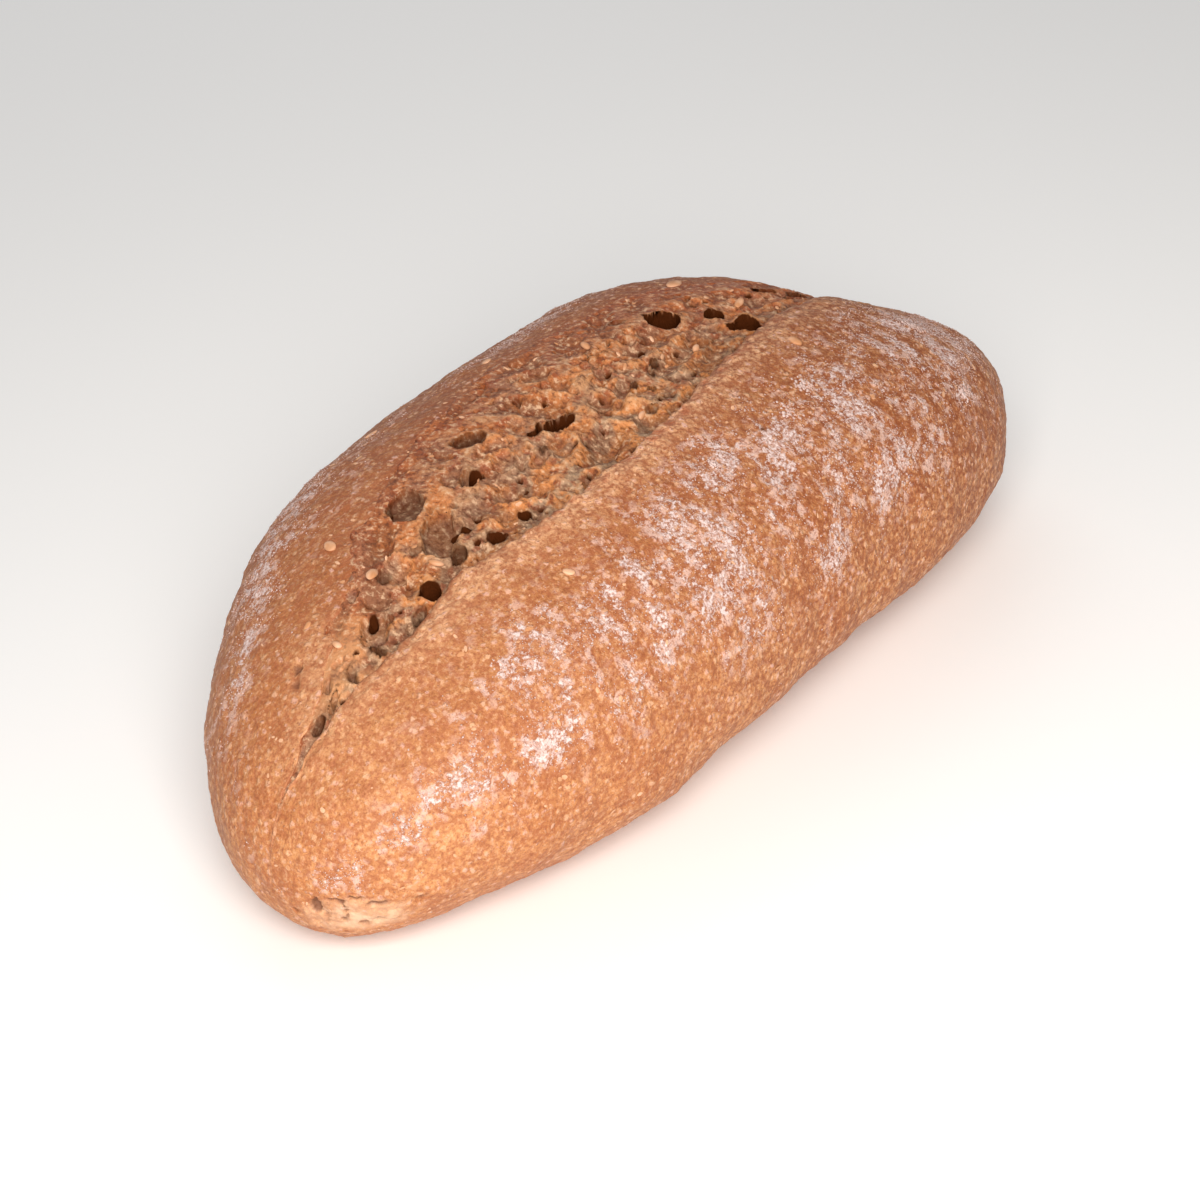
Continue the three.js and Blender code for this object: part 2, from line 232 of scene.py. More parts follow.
# %% The lips
SLASH_LIP = [(-71, -6), (-64, -8.0), (-56, -9.3), (-48, -11.0), (-38, -10.9), (-30, -13.1), (-22, -13.9),
             (-12, -14.5), (4, -13.9), (20, -11.8), (34, -10.3), (48, -9.1), (63, -5.3)]
TORN_LIP = [(-71, -6), (-63, -5.1), (-57, -2.1), (-50, 0.5), (-38, 6.7), (-25, 11.7), (-13, 14.9),
            (4, 16.7), (20, 15.5), (32, 13.7), (44, 8.7), (56, 1.2), (63, -5.3)]
TEAR_START, TEAR_END = -71.0, 63.0
TIP_TAPER = 0.6          # how bluntly the tear opens from its tips
TIP_WIDTH = 0.8
EAR_RISE, EAR_WIDTH = 1.0, 5.0
CROWN_LEVEL = 20.0       # whatever is higher than this lies on the upper side

# Towards its near tip the tear frays and skins over again: where along X that begins and is full.
LIPS_FRAY, EDGES_CLOSE, CRUMB_CLOSES = (-44, -54), (-46, -56), (-46, -60)


def lip(points, x):
    """A smooth curve y(x): cubic arcs whose slope at each point is the slope between its neighbours."""
    xs, ys = np.array(points, float).T
    chords = np.diff(ys) / np.diff(xs)
    slopes = np.concatenate([chords[:1], (ys[2:] - ys[:-2]) / (xs[2:] - xs[:-2]), chords[-1:]])
    x = np.clip(x, xs[0], xs[-1])
    arc = np.clip(np.searchsorted(xs, x) - 1, 0, len(xs) - 2)
    span = xs[arc + 1] - xs[arc]
    t = (x - xs[arc]) / span
    return (ys[arc] * (1 + 2 * t) * (1 - t) ** 2 + ys[arc + 1] * t * t * (3 - 2 * t)
            + span * t * (1 - t) * (slopes[arc] * (1 - t) - slopes[arc + 1] * t))


def openness(x):
    """How open the tear is: a sine from tip to tip, raised to TIP_TAPER."""
    share = np.clip((x - TEAR_START) / (TEAR_END - TEAR_START), 0, 1)
    return np.sin(np.pi * share) ** TIP_TAPER


def lips_at(x):
    """Both lips at x, with the ragged edge that tearing leaves: coarse and fine noise along x."""
    def ragged(row, coarse, fine):
        along = on_the_flat(x, np.full_like(x, row))
        tip = ramp(x, *LIPS_FRAY) * ramp(x, TEAR_START, TEAR_START + 5)
        torn = coarse * lumps(along, 6.0, 21) + fine * lumps(along, 1.7, 22)
        return openness(x) * torn + tip * lumps(along, 2.9, 24)
    near = lip(SLASH_LIP, x) + ragged(3.5, 0.55, 0.35)
    far = lip(TORN_LIP, x) + ragged(99.5, 1.2, 0.7)
    middle, half = (near + far) / 2, np.maximum(TIP_WIDTH, far - near) / 2
    return middle - half, middle + half


stations = np.linspace(TEAR_START, TEAR_END, 5)
print("tear width in mm:", np.round(lips_at(stations)[1] - lips_at(stations)[0], 1))


# %% A closed skin from a grid of points
def closed_faces(rows, around):
    """Faces of a pole, rows of points and another pole: a fan, four-sided faces side by side, and a fan."""
    index = 1 + np.arange(rows * around).reshape(rows, around)
    beside = np.roll(index, -1, 1)
    first = np.stack([np.zeros(around, int), index[0], beside[0]], -1)
    quads = np.stack([index[:-1], index[1:], beside[1:], beside[:-1]], -1).reshape(-1, 4)
    last = np.stack([np.full(around, rows * around + 1), beside[-1], index[-1]], -1)
    return first, quads, last


def new_mesh(name, points, faces, smooth=True):
    """A mesh of points in mm and lists of their numbers."""
    mesh = bpy.data.meshes.new(name)
    mesh.from_pydata((points * MM).tolist(), [], faces)
    mesh.polygons.foreach_set("use_smooth", np.full(len(mesh.polygons), smooth))
    mesh.update()
    return mesh


def closed_mesh(name, grid):
    """A mesh of rows of points: each row closes on itself, and the first and the last shrink to a point."""
    rows, around = grid.shape[:2]
    points = np.concatenate([grid[:1].mean(1), grid[1:-1].reshape(-1, 3), grid[-1:].mean(1)])
    first, quads, last = closed_faces(rows - 2, around)
    # Blender folds a four-sided face from its first corner to its third. Each face begins at its shorter
    # diagonal, or a steep rim that runs slantwise over the grid would look like the teeth of a saw.
    corner = points[quads]
    folded, other = (np.linalg.norm(corner[:, a] - corner[:, a + 2], axis=1) for a in (0, 1))
    quads[folded > other] = np.roll(quads[folded > other], 1, axis=1)
    return new_mesh(name, points, quads.tolist() + first.tolist() + last.tolist())


def keep_values(mesh, name, values):
    """Stores one number per vertex of a closed_mesh, for its material: poles take their row's mean."""
    flat = np.concatenate([[values[0].mean()], values[1:-1].ravel(), [values[-1].mean()]])
    mesh.attributes.new(name, "FLOAT", "POINT").data.foreach_set("value", flat.astype(np.float32))


def piece_of(mesh):
    """The object of a mesh: it rides on the roll's one body and stands for the CAD roll."""
    piece = bpy.data.objects.new(mesh.name, mesh)
    bpy.context.scene.collection.objects.link(piece)
    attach(piece, "root")
    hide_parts("roll")
    triangles = sum(len(p.vertices) - 2 for p in mesh.polygons)
    print(f"{mesh.name}: {triangles} triangles")
    return piece


# %% [markdown]
# ## The crust
#
# The crust is the whole outer skin, thin and hard, with a fine pebbly grain from the
# bran in the dough. One closed grid follows it: stations along x, bunched towards the
# two ends so that they close roundly, and lines that start at the torn lip, run under
# the loaf and come up to the slashed lip. A few more lines sink into a trough that the
# crumb fills later, so that the lip has a real thickness and a real undercut.

# %% Where the crust's lines run
CRUST_STATIONS = 372
CRUST_LINES = 256
END_BUNCHING = 0.3
BASE_SHARE = 0.16  # lines on the flat base are this much as close as on the sides
BASE_TOP = 0.3     # what is lower than this is the flat base
# Both lips roll over: how far down their edge bends, and how wide the bend is.
SLASHED_ROLL, TORN_ROLL = (0.4, 0.8), (0.35, 1.2)
LOW_LIP, LOW_ROLL = -40, 0.8   # before this place the slashed lip lies low and bends down this far
TROUGH_DEPTH = 8.5
# The trough's section from the slashed lip: [share of the way across, mm further, mm down].
TROUGH = np.array([[0, 0.22, 0.12], [0, 0.34, 0.45], [0, 0.3, 1.0], [0, -0.1, 1.7], [0, -1.2, 2.9],
                   [0, -1.8, TROUGH_DEPTH], [0.5, 0, TROUGH_DEPTH], [1, 0.8, TROUGH_DEPTH], [1, 0.5, 1.2]])


def evenly_spaced_angles(start, stop, count):
    """Angles a like arc apart: the arc length round the fattest section is tabled and read backwards."""
    table = np.radians(np.linspace(170, -300, 1881))   # a quarter of a degree apart
    ring = skin_point(np.full_like(table, FATTEST_AT), table)
    step = np.linalg.norm(np.diff(ring, axis=0), axis=1)
    step = step * np.where(ring[1:, 2] < BASE_TOP, BASE_SHARE, 1)
    arc = np.concatenate([[0], np.cumsum(step)])
    start_arc = np.interp(-start, -table, arc)[:, None]
    stop_arc = np.interp(-stop, -table, arc)[:, None]
    return np.interp(start_arc + (stop_arc - start_arc) * np.linspace(0, 1, count), arc, table)


def crust_grid():
    """The crust's points, and for each its angle: skin lines, then the trough's lines."""
    s = np.linspace(-1, 1, CRUST_STATIONS)
    x = HALF * np.sin(np.pi / 2 * (s - END_BUNCHING * np.sin(np.pi * s) / np.pi))
    near, far = lips_at(x)
    skin_angle = evenly_spaced_angles(angle_above(x, far), angle_above(x, near) - 2 * np.pi, CRUST_LINES)
    skin = skin_point(x[:, None], skin_angle)
    share, further, down = TROUGH.T
    open_here = openness(x)[:, None]
    # Both lips roll over: their last millimetre bends down, most where the slashed one lies low.
    slashed_down = np.where(x < LOW_LIP, LOW_ROLL, SLASHED_ROLL[0])
    torn_down = np.full_like(x, TORN_ROLL[0])
    for edge, down_here, reach in ((near, slashed_down, SLASHED_ROLL[1]), (far, torn_down, TORN_ROLL[1])):
        roll = down_here[:, None] * np.exp(-np.abs(skin[..., 1] - edge[:, None]) / reach)
        skin[..., 2] -= open_here * roll * (skin[..., 2] > CROWN_LEVEL)
    edge_near, edge_far = skin[:, -1, 1][:, None], skin[:, 0, 1][:, None]
    even = np.arange(1, len(share) + 1) / (len(share) + 1)
    way_across = even * (1 - open_here) + share * open_here
    y = edge_near + (edge_far - edge_near) * way_across + further * open_here
    x_lines = np.broadcast_to(x[:, None], y.shape)
    angle = angle_above(x_lines, y)
    level = skin[:, -1, 2][:, None] * (1 - share) + skin[:, 0, 2][:, None] * share
    z = level * open_here + crown_height(x_lines, y) * (1 - open_here) - open_here * down
    trough = np.stack([x_lines, y, z], -1)
    return np.concatenate([skin, trough], 1), np.concatenate([skin_angle, angle - 2 * np.pi], 1)


crust_points, crust_angles = crust_grid()
print("crust grid:", crust_points.shape)


# %% Normals of a grid
def grid_normals(grid):
    """Outward unit normals: the cross product of the steps along the rows and round them."""
    along = np.gradient(grid, axis=0)
    wrapped = np.concatenate([grid[:, -1:], grid, grid[:, :1]], 1)
    across = (wrapped[:, 2:] - wrapped[:, :-2]) / 2
    normal = np.cross(along, across)
    return normal / np.maximum(np.linalg.norm(normal, axis=-1, keepdims=True), 1e-9)


# %% [markdown]
# ## Flour, and how brown the crust is
#
# The roll was dusted before baking, and the flour stayed where hands and baskets didn't
# rub it off: in clouds a few millimetres wide, thick on the near shoulder and over the
# far end. The clouds are bell curves at chosen places, broken up by noise. The same
# numbers later drive the material and the places of loose flour specks, so that dust and
# specks belong together.

# %% Clouds of flour
# [x, angle in degrees, reach along, reach round in degrees, strength]
FLOUR_CLOUDS = [
    (0, 121, 4, 5, 0.95), (-8, 126, 6, 8, 0.6), (-10, 138, 5, 7, 1.0), (-12, 154, 5, 9, 0.8),
    (-19, 152, 4, 5, 0.85), (-14, 165, 5, 5, 0.85), (9, 130, 4, 8, 0.95), (27, 121, 4, 5, 0.85),
    (22, 135, 5, 7, 0.85), (26, 154, 5, 7, 1.0), (20, 158, 4, 5, 0.85), (8, 154, 3, 6, 0.8),
    (7, 164, 3, 4, 0.65), (36, 120, 4, 4, 0.65), (53, 116, 11, 10, 1.0), (55, 130, 8, 8, 0.95),
    (48, 148, 3, 4, 1.0), (37, 139, 3, 6, 0.8), (37, 154, 3, 5, 0.6), (-16, 126, 5, 6, 0.55),
    (-25, 132, 6, 5, 0.75), (-22, 144, 4, 5, 0.7), (-33, 140, 5, 5, 0.85), (-29, 154, 4, 4, 0.8),
    (-36, 160, 4, 4, 0.6), (-39, 123, 4, 5, 0.75), (-46, 126, 4, 4, 0.9), (-41, 132, 4, 4, 0.9),
    (-42, 144, 4, 4, 0.75), (-48, 155, 5, 6, 0.95), (-53, 144, 3, 4, 0.55), (-62, 146, 4, 5, 0.8),
    (-58, 154, 3, 4, 0.75), (-66, 155, 3, 4, 0.6), (-57, 168, 3, 4, 0.45), (-33, 47, 11, 8, 0.9),
    (-45, 52, 4, 6, 0.85), (-57, 56, 4, 5, 0.95), (18, 56, 16, 6, 0.7), (-73, 160, 6, 16, 0.45),
    (5, 142, 40, 24, 0.42), (0, 134, 20, 16, 0.3), (50, 128, 18, 26, 0.5), (-42, 142, 22, 22, 0.33),
    (-40, 50, 26, 16, 0.4), (20, 120, 20, 8, 0.25),
]
FLOUR_ELSEWHERE = 0.08


def flour_at(points, angle):
    """How thick the flour lies, 0 to 1: the clouds' bell curves, broken by noise stretched round the loaf."""
    x = points[..., 0]
    cloud = np.zeros(x.shape)
    for cloud_x, cloud_angle, along, around, strength in FLOUR_CLOUDS:
        turned = angle - np.radians(cloud_angle)
        gap = np.degrees(np.arctan2(np.sin(turned), np.cos(turned))) / around
        puff = strength * np.exp(-((x - cloud_x) / along) ** 2 - gap ** 2)
        cloud = 1 - (1 - cloud) * (1 - np.clip(puff, 0, 1))
    unseen = ramp(np.cos(angle), 0.3, 0.8)
    elsewhere = FLOUR_ELSEWHERE + 0.35 * unseen * np.clip(lumps(points, 13.0, 31), 0, 1)
    stretched = points * [1, 0.45, 0.45]
    broken = 0.72 + 0.95 * lumps(stretched, 2.6, 32) + 0.5 * lumps(points, 1.1, 33)
    return np.clip((elsewhere + cloud) * broken, 0, 1)


# %% [markdown]
# ## The crust's relief
#
# Bread crust could be left smooth with a bump map, but its pebbles and soft wrinkles
# show at the outline, so they are in the mesh: cell noise for the pebbles, fractal noise
# for the wrinkles, moved along the normal. The foot of the near end burst low down in
# the oven: a line that gaped, with a dark wedge at its left and torn, paler dough below.
# The crust also has a few small pits where a bubble broke.

# %% Pebbles, wrinkles and the burst foot
PEBBLE = (1.4, 0.11)       # pitch and height
WRINKLE = (4.5, 0.2)
# The foot's splits, then four pits: [x, y, z] of the middle, half sizes along, across and up, turn, depth.
SPLITS = [
    (-74.0, -12.4, 11.0, 0.8, 0.8, 1.7, 0, 0.8), (-72.9, -15.0, 12.6, 1.3, 1.2, 0.32, -50, 0.8),
    (-71.6, -17.2, 13.1, 1.3, 1.2, 0.28, -50, 0.7), (-70.0, -19.1, 12.0, 1.5, 1.2, 0.5, -50, 0.7),
    (-72.1, -15.6, 10.8, 0.22, 1.2, 2.1, -50, 0.5), (-72.2, -15.1, 8.8, 0.5, 1.0, 0.4, -50, 0.6),
    (-69.6, -18.4, 8.6, 1.2, 1.0, 0.4, -50, 0.5), (-70.5, -16.8, 7.8, 0.6, 1.0, 0.35, -50, 0.6),
    (-65.5, -22.5, 11.6, 1.6, 1.2, 0.4, -38, 0.45), (-75.0, -9.2, 9.6, 0.8, 0.9, 0.8, 0, 0.6),
    (-71.5, -17.5, 8.0, 1.5, 1.0, 0.3, -50, 0.4), (-73.6, -13.8, 9.0, 0.4, 1.0, 1.4, -50, 0.35),
    (-57.7, 1.5, 32.4, 0.7, 0.8, 0.9, 0, 0.7), (-52.1, 1.2, 35.0, 0.6, 0.6, 0.9, 0, 0.7),
    (-59.6, 0.4, 31.3, 0.9, 0.7, 0.9, 0, 0.5), (9.9, -23.6, 40.5, 0.55, 0.55, 0.6, 0, 0.8),
]
DEEPEST_SPLIT = 0.8
TORN_PATCH, TORN_PATCH_SIZE = [-71.0, -16.5, 9.4], [6.5, 8.0, 3.4]
CRUST_LOOKS = ["flour", "edge", "scorched", "torn", "split"]


def split_depth(points):
    """Depth of the splits and pits: each has the profile of a round bowl, in its own turned frame."""
    depth = np.zeros(points.shape[:-1])
    wobble = 0.5 * np.stack([lumps(points, 1.0, 41 + a) for a in range(3)], -1)
    for x, y, z, long, thick, high, turn, deep in SPLITS:
        gap = points + wobble - [x, y, z]
        c, s = np.cos(np.radians(turn)), np.sin(np.radians(turn))
        reach = ((gap[..., 0] * c + gap[..., 1] * s) / long) ** 2
        reach = reach + ((gap[..., 1] * c - gap[..., 0] * s) / thick) ** 2 + (gap[..., 2] / high) ** 2
        depth = np.maximum(depth, deep * np.sqrt(np.clip(1 - reach, 0, 1)))
    return depth


def torn_foot(points):
    """Where the foot's skin is torn off, 0 to 1: a patch under the line of the splits."""
    gap = (points - TORN_PATCH) / TORN_PATCH_SIZE
    return np.clip(1.2 - (gap ** 2).sum(-1) + 0.5 * lumps(points, 2.0, 45), 0, 1)


def crust_relief(points):
    """Height of the grain above the smooth skin: pebbles, wrinkles and torn fibres, less the splits."""
    relief = PEBBLE[1] * (1 - 2 * pebbles(points, PEBBLE[0], 51))
    relief = relief + WRINKLE[1] * rough(points, WRINKLE[0], 3, 52)
    relief = relief + 0.3 * torn_foot(points) * rough(points * [1, 1, 0.5], 1.6, 2, 53)
    at_lip = bell((points[..., 1] - lip(SLASH_LIP, points[..., 0])) / 1.6) * (points[..., 2] > CROWN_LEVEL)
    relief = relief + 0.3 * at_lip * rough(points, 1.9, 2, 54)
    on_base = np.clip(points[..., 2] / 3, 0.1, 1)
    return relief * on_base - split_depth(points)


line = np.arange(crust_points.shape[1])[None, :]
in_trough = line >= CRUST_LINES
sunk = (line >= CRUST_LINES + 4) & (line < crust_points.shape[1] - 2)
relief = crust_relief(crust_points)
relief = np.where(sunk, 0.1 * relief, relief)
dressed = crust_points + relief[..., None] * grid_normals(crust_points)
dressed = np.clip(dressed, BOX_LOW, BOX_HIGH)
print("relief from", round(float(relief.min()), 2), "to", round(float(relief.max()), 2), "mm")

# %% Where the crust is floured, pale, scorched or torn
x, y = crust_points[..., 0], crust_points[..., 1]
crust_mesh = closed_mesh("crust", dressed)
crust_flour = flour_at(crust_points, crust_angles)
top_side = np.clip(np.sin(crust_angles) * 4, 0, 1) * openness(x)
near_tip = ramp(x, *EDGES_CLOSE)
slashed_edge = top_side * bell((y - lip(SLASH_LIP, x)) / 3.2)
torn_edge = top_side * bell((y - lip(TORN_LIP, x)) / (2.2 + 2.4 * near_tip))
bare = np.clip(1 - 1.1 * slashed_edge - 1.1 * torn_edge, 0, 1) * ~in_trough
patchy = 0.75 + 0.5 * lumps(crust_points, 1.8, 55)
pale_edge = np.where(in_trough, 0.4, np.maximum(slashed_edge, near_tip * torn_edge) * patchy)
scorched_edge = np.where(in_trough, 0.4, (1 - near_tip) * torn_edge * patchy)
# How deep the splits and pits are: the material paints shade into them by it.
split_share = split_depth(crust_points) / DEEPEST_SPLIT
looks = [crust_flour * bare, pale_edge, scorched_edge, torn_foot(crust_points), split_share]
for look, values in zip(CRUST_LOOKS, looks):
    keep_values(crust_mesh, look, np.clip(values, 0, 1))
crust = piece_of(crust_mesh)


# %% [markdown]
# ## The torn crumb
#
# Crumb is a foam of gas cells, and tearing opens them: every cell that the tear crossed
# is now a bowl, and the walls between the bowls stand as ridges. Large cells from the
# photograph are placed one by one. Three sizes of smaller ones come from cell noise, as
# bowls with the profile of a cut sphere. The crumb is a height above (x, y), but points
# may move sideways too: those beside a deep pore's rim are first brought onto it, which
# draws it clean, and then drawn inwards, because such a pore is wider inside than at its
# mouth.

# %% Pores, bowls and lumps of the crumb
EAR_DEPTH, EAR_SLOPE, EAR_UNDERCUT = 3.3, 1.4, 1.6   # under the slashed lip: how low, how curved, how far
FAR_STEP, LEAST_DROP = 0.3, 0.15                     # how far below the closed loaf the crumb stays
CREST_RISE, CREST_AT, CREST_SPREAD = 0.8, 0.78, 0.18
RIDGE_RISE, STRAND_DEPTH, TIP_ROUGHNESS = 1.2, 0.42, 0.7
OVERLAP = 2.6      # how far the torn crumb reaches over the crust beyond the torn lip
SLAB_DEPTH = 9.5
CRUMB_STATIONS, CRUMB_LINES, UNDER_LINES = 640, 146, 5
CRUMB_LOOKS = ["hollow", "baked", "proud", "dark", "skinned"]
STEEP = 1.3        # pores deeper than this have steep walls and insides darkened by painted shade
WALL_RUN = 0.55    # how far inside the rim such a wall has reached its depth
RIM_BAND = 0.1     # points this near to such a rim are moved onto it
RIM_RISE, RIM_AT, RIM_SPREAD = 0.3, 1.1, 0.14   # the raised rim round a placed cell, in mm and half sizes
# [x, y, half length, half width, depth, turn in degrees, how far the mouth draws in]
PORES = [
    (-63.1, -6.3, 1.3, 0.9, 2.5, 5, 0.1), (-60.0, -6.5, 1.4, 0.7, 1.6, 25, 0),
    (-56.3, -6.3, 1.5, 0.8, 1.8, 60, 0), (-69.6, -6.1, 1.1, 0.6, 1.8, 0, 0),
    (-66.7, -5.9, 1.2, 0.5, 1.2, 0, 0), (-58.6, -4.4, 1.2, 0.7, 1.7, 20, 0),
    (-55.8, -3.4, 1.2, 0.7, 0.7, 20, 0), (-51.6, -6.7, 2.0, 0.7, 2.2, 75, 0.1),
    (-51.4, -4.5, 1.1, 0.6, 1.5, 60, 0), (-49.3, -4.3, 2.6, 1.9, 1.4, 40, 0),
    (-48.3, -3.3, 1.0, 0.7, 3.2, 40, 0.2), (-47.2, -5.2, 0.9, 0.5, 2.0, 30, 0),
    (-47, 1.6, 1.2, 0.9, 1.4, 0, 0), (-41, -6.9, 1.9, 1.5, 2.9, 60, 0.15),
    (-42.4, -0.1, 1.2, 0.8, 2.0, 20, 0.1), (-40.8, -0.9, 2.6, 1.8, 1.2, 30, 0),
    (-33.9, -5.9, 1.4, 1.1, 2.3, 10, 0.15), (-30.6, -3.4, 1.5, 0.9, 3.0, -60, 0.1),
    (-32.6, -1.8, 4.0, 2.7, 1.8, 35, 0), (-30.9, 5.5, 3.6, 2.7, 1.9, 40, 0.1),
    (-32.6, 7.0, 1.2, 0.7, 2.8, 40, 0.1), (-28.8, -8.2, 1.15, 0.9, 3.2, -30, 0.1),
    (-23.4, -8.4, 1.1, 0.95, 3.2, 30, 0.1), (-22.4, 1.5, 2.0, 1.5, 1.9, 35, 0.15),
    (-21.4, 1.3, 1.5, 1.1, 3.4, 35, 0.15), (-16.3, 0.8, 2.4, 1.7, 1.0, 30, 0),
    (-15.5, 7.1, 2.8, 1.7, 2.2, -35, 0.1), (-13, -2.8, 2.2, 1.6, 1.1, 20, 0),
    (-10.6, -1.7, 0.8, 0.5, 2.2, 0, 0.2), (-5.2, 0.3, 3.4, 1.6, 3.2, -15, 0.1),
    (-9.2, 1.1, 1.1, 0.7, 2.8, -10, 0.25), (2.4, 9.5, 3.0, 1.8, 1.1, -20, 0),
    (0.4, 12, 1.3, 0.8, 1.2, 0, 0.1), (5.5, -8.1, 1.1, 0.8, 2.0, 0, 0.1),
    (9.2, -2.3, 0.9, 0.6, 2.4, 40, 0.2), (15.3, -1.4, 0.9, 0.6, 2.4, 60, 0.2),
    (13.4, -2.4, 1.6, 0.6, 2.0, 50, 0.1), (11.9, 6, 1.6, 0.3, 1.5, -25, 0),
    (9.7, 3.8, 2.2, 0.5, 0.9, -15, 0), (26, 4.8, 3.0, 2.5, 3.4, -30, 0.15),
    (32.7, 0.4, 1.8, 1.6, 3.2, 10, 0.12), (33.2, -4.6, 2.6, 2.1, 2.6, -20, 0.1),
    (46.4, 1.1, 2.2, 1.2, 2.2, -30, 0.1), (42.2, -3.6, 1.8, 1.1, 1.2, 0, 0),
    (50.6, -2.0, 1.8, 1.0, 2.3, -20, 0), (53.6, -3.6, 1.4, 0.7, 2.0, -10, 0),
    (47.6, -2.8, 1.2, 0.8, 1.9, 0, 0), (57, -3.6, 1.6, 0.6, 1.8, 0, 0), (21, 9.3, 1.3, 0.9, 1.9, -30, 0),
    (9.8, -5.0, 0.9, 0.7, 2.2, 0, 0.1), (17.6, 4.6, 1.6, 0.9, 1.5, -20, 0),
    (24.6, -3.2, 1.8, 1.0, 1.7, 20, 0), (-5.2, 10.4, 1.8, 0.8, 1.3, -10, 0),
    (-36.5, -1.0, 1.0, 0.7, 1.9, 0, 0.1), (-45.0, 3.6, 1.4, 0.9, 1.6, 20, 0),
    (-54.8, -0.6, 1.2, 0.8, 1.5, 0, 0), (-44.6, -8.2, 1.3, 0.7, 2.0, 30, 0),
]
# Rounded walls that bulge up: [x, y, half length, half width, height, turn].
BULGES = [
    (35.4, -3.0, 1.6, 1.3, 1.1, 10), (7.4, -5.6, 3.4, 1.6, 0.9, -10), (-5.0, -4.2, 3.6, 1.2, 0.5, -15),
    (3.6, 3.4, 5.0, 1.5, 0.7, -20), (-45.2, -3.8, 1.4, 1.0, 0.7, 40), (20.5, 1.6, 3.0, 1.3, 0.7, -20),
    (-36.6, 2.4, 2.2, 1.4, 0.6, 30), (-26.5, -4.2, 2.6, 1.5, 0.5, 40), (41.5, 4.8, 2.6, 1.5, 0.8, -30),
]
# Random gas cells: [pitch, smallest and largest radius as a share of it, depth for its radius, share of
# the lattice squares that hold one, seed].
GAS_CELLS = [(4.4, 0.2, 0.42, 0.6, 0.55, 61), (2.3, 0.2, 0.42, 0.65, 0.55, 62),
             (1.1, 0.2, 0.42, 0.6, 0.5, 63)]
PITS = (2.4, 0.12, 0.24, 2.2, 0.4, 64)   # small deep pores, as above


def turned_reach(x, y, place_x, place_y, long, wide, turn):
    """Squared distance from a place, in half sizes of an oval turned by some degrees."""
    c, s = np.cos(np.radians(turn)), np.sin(np.radians(turn))
    along = ((x - place_x) * c + (y - place_y) * s) / long
    across = ((y - place_y) * c - (x - place_x) * s) / wide
    return along ** 2 + across ** 2


def open_cells(x, y, pitch, smallest, largest, depth, how_many, seed):
    """Depth of random bowls, one per lattice square: depth times radius times the root of 1 - reach."""
    column, row = np.floor(x / pitch).astype(np.int64), np.floor(y / pitch).astype(np.int64)
    deepest = np.zeros(x.shape)
    for step in np.ndindex(3, 3):
        i, j = column + step[0] - 1, row + step[1] - 1
        number, other = stirred(i, j, i * 0, seed), stirred(i, j, i * 0, seed + 1)
        radius = pitch * (smallest + (largest - smallest) * share_of(number, 2) ** 1.5)
        radius = np.where(share_of(other, 1) < how_many, radius, 1e-6)
        gap = (x - pitch * (i + share_of(number, 0))) ** 2 + (y - pitch * (j + share_of(number, 1))) ** 2
        reach = gap / (radius * radius * (1 + 0.5 * share_of(other, 0)))
        deepest = np.maximum(deepest, depth * radius * np.sqrt(np.clip(1 - reach, 0, 1)))
    return deepest


def push_at(x, y):
    """Two sizes of noise, in x and in y: cells whose places are pushed by it have ragged outlines."""
    flat = on_the_flat(x, y)
    return np.stack([0.42 * lumps(flat, 2.6, seed) + 0.24 * lumps(flat, 1.1, seed + 1) for seed in (71, 73)])


def ragged_reach(x, y, push, place_x, place_y, long, wide, turn):
    """The squared distance from a cell's middle, pushed by the noise: the more, the longer the cell."""
    return turned_reach(*([x, y] + (0.6 + 0.35 * long) * push), place_x, place_y, long, wide, turn)


def brought_to_rims(x, y):
    """Moves the points beside a deep pore's rim onto it: by 1/share - 1 of their way from its middle."""
    for place_x, place_y, long, wide, deep, turn, _ in PORES:
        close = (np.abs(x - place_x) < 2 * long) & (np.abs(y - place_y) < 2 * long)
        if deep > STEEP and close.any():
            here_x, here_y = x[close], y[close]
            push = push_at(here_x, here_y)
            share = np.sqrt(ragged_reach(here_x, here_y, push, place_x, place_y, long, wide, turn))
            beside = np.abs(1 - share) * min(long, wide) < RIM_BAND
            step = np.where(beside, 1 / np.maximum(share, 0.1) - 1, 0)
            x[close] = here_x + step * (here_x - place_x)
            y[close] = here_y + step * (here_y - place_y)
    return x, y


def placed_cells(x, y, push):
    """The cells placed one by one: depth, raised rim, where they keep small ones off, and painted shade
    inside.
    """
    pore, rim, kept, dark = (np.zeros(x.shape) for _ in range(4))
    for place_x, place_y, long, wide, deep, turn, _ in PORES:
        reach = ragged_reach(x, y, push, place_x, place_y, long, wide, turn)
        from_rim = (1 - np.sqrt(reach)) * min(long, wide)
        bowl = deep * np.sqrt(np.clip(1 - reach, 0, 1))
        wall = deep * ramp(from_rim, 0, WALL_RUN) * (0.8 + 0.2 * np.clip(1 - reach, 0, 1))
        pore = np.maximum(pore, wall if deep > STEEP else bowl)
        rim = np.maximum(rim, RIM_RISE * bell((np.sqrt(reach) - RIM_AT) / RIM_SPREAD))
        kept = np.maximum(kept, bell(reach / 2.4))
        dark = np.maximum(dark, ramp(deep, STEEP, 2 * STEEP) * ramp(from_rim, -0.22, -0.02))
    return pore, rim, kept, dark


def small_cells(x, y, push, share, kept):
    """Depths of the random gas cells, fewer towards the torn lip, and of the small deep pores."""
    fewer = (1 - 0.75 * ramp(share, 0.7, 0.9)) * (1 - kept)
    cells = np.zeros(x.shape)
    for kind in GAS_CELLS:
        cells = np.maximum(cells, open_cells(*([x, y] + 1.3 * push), *kind))
    return fewer * cells, (1 - kept) * open_cells(*([x, y] + push), *PITS)


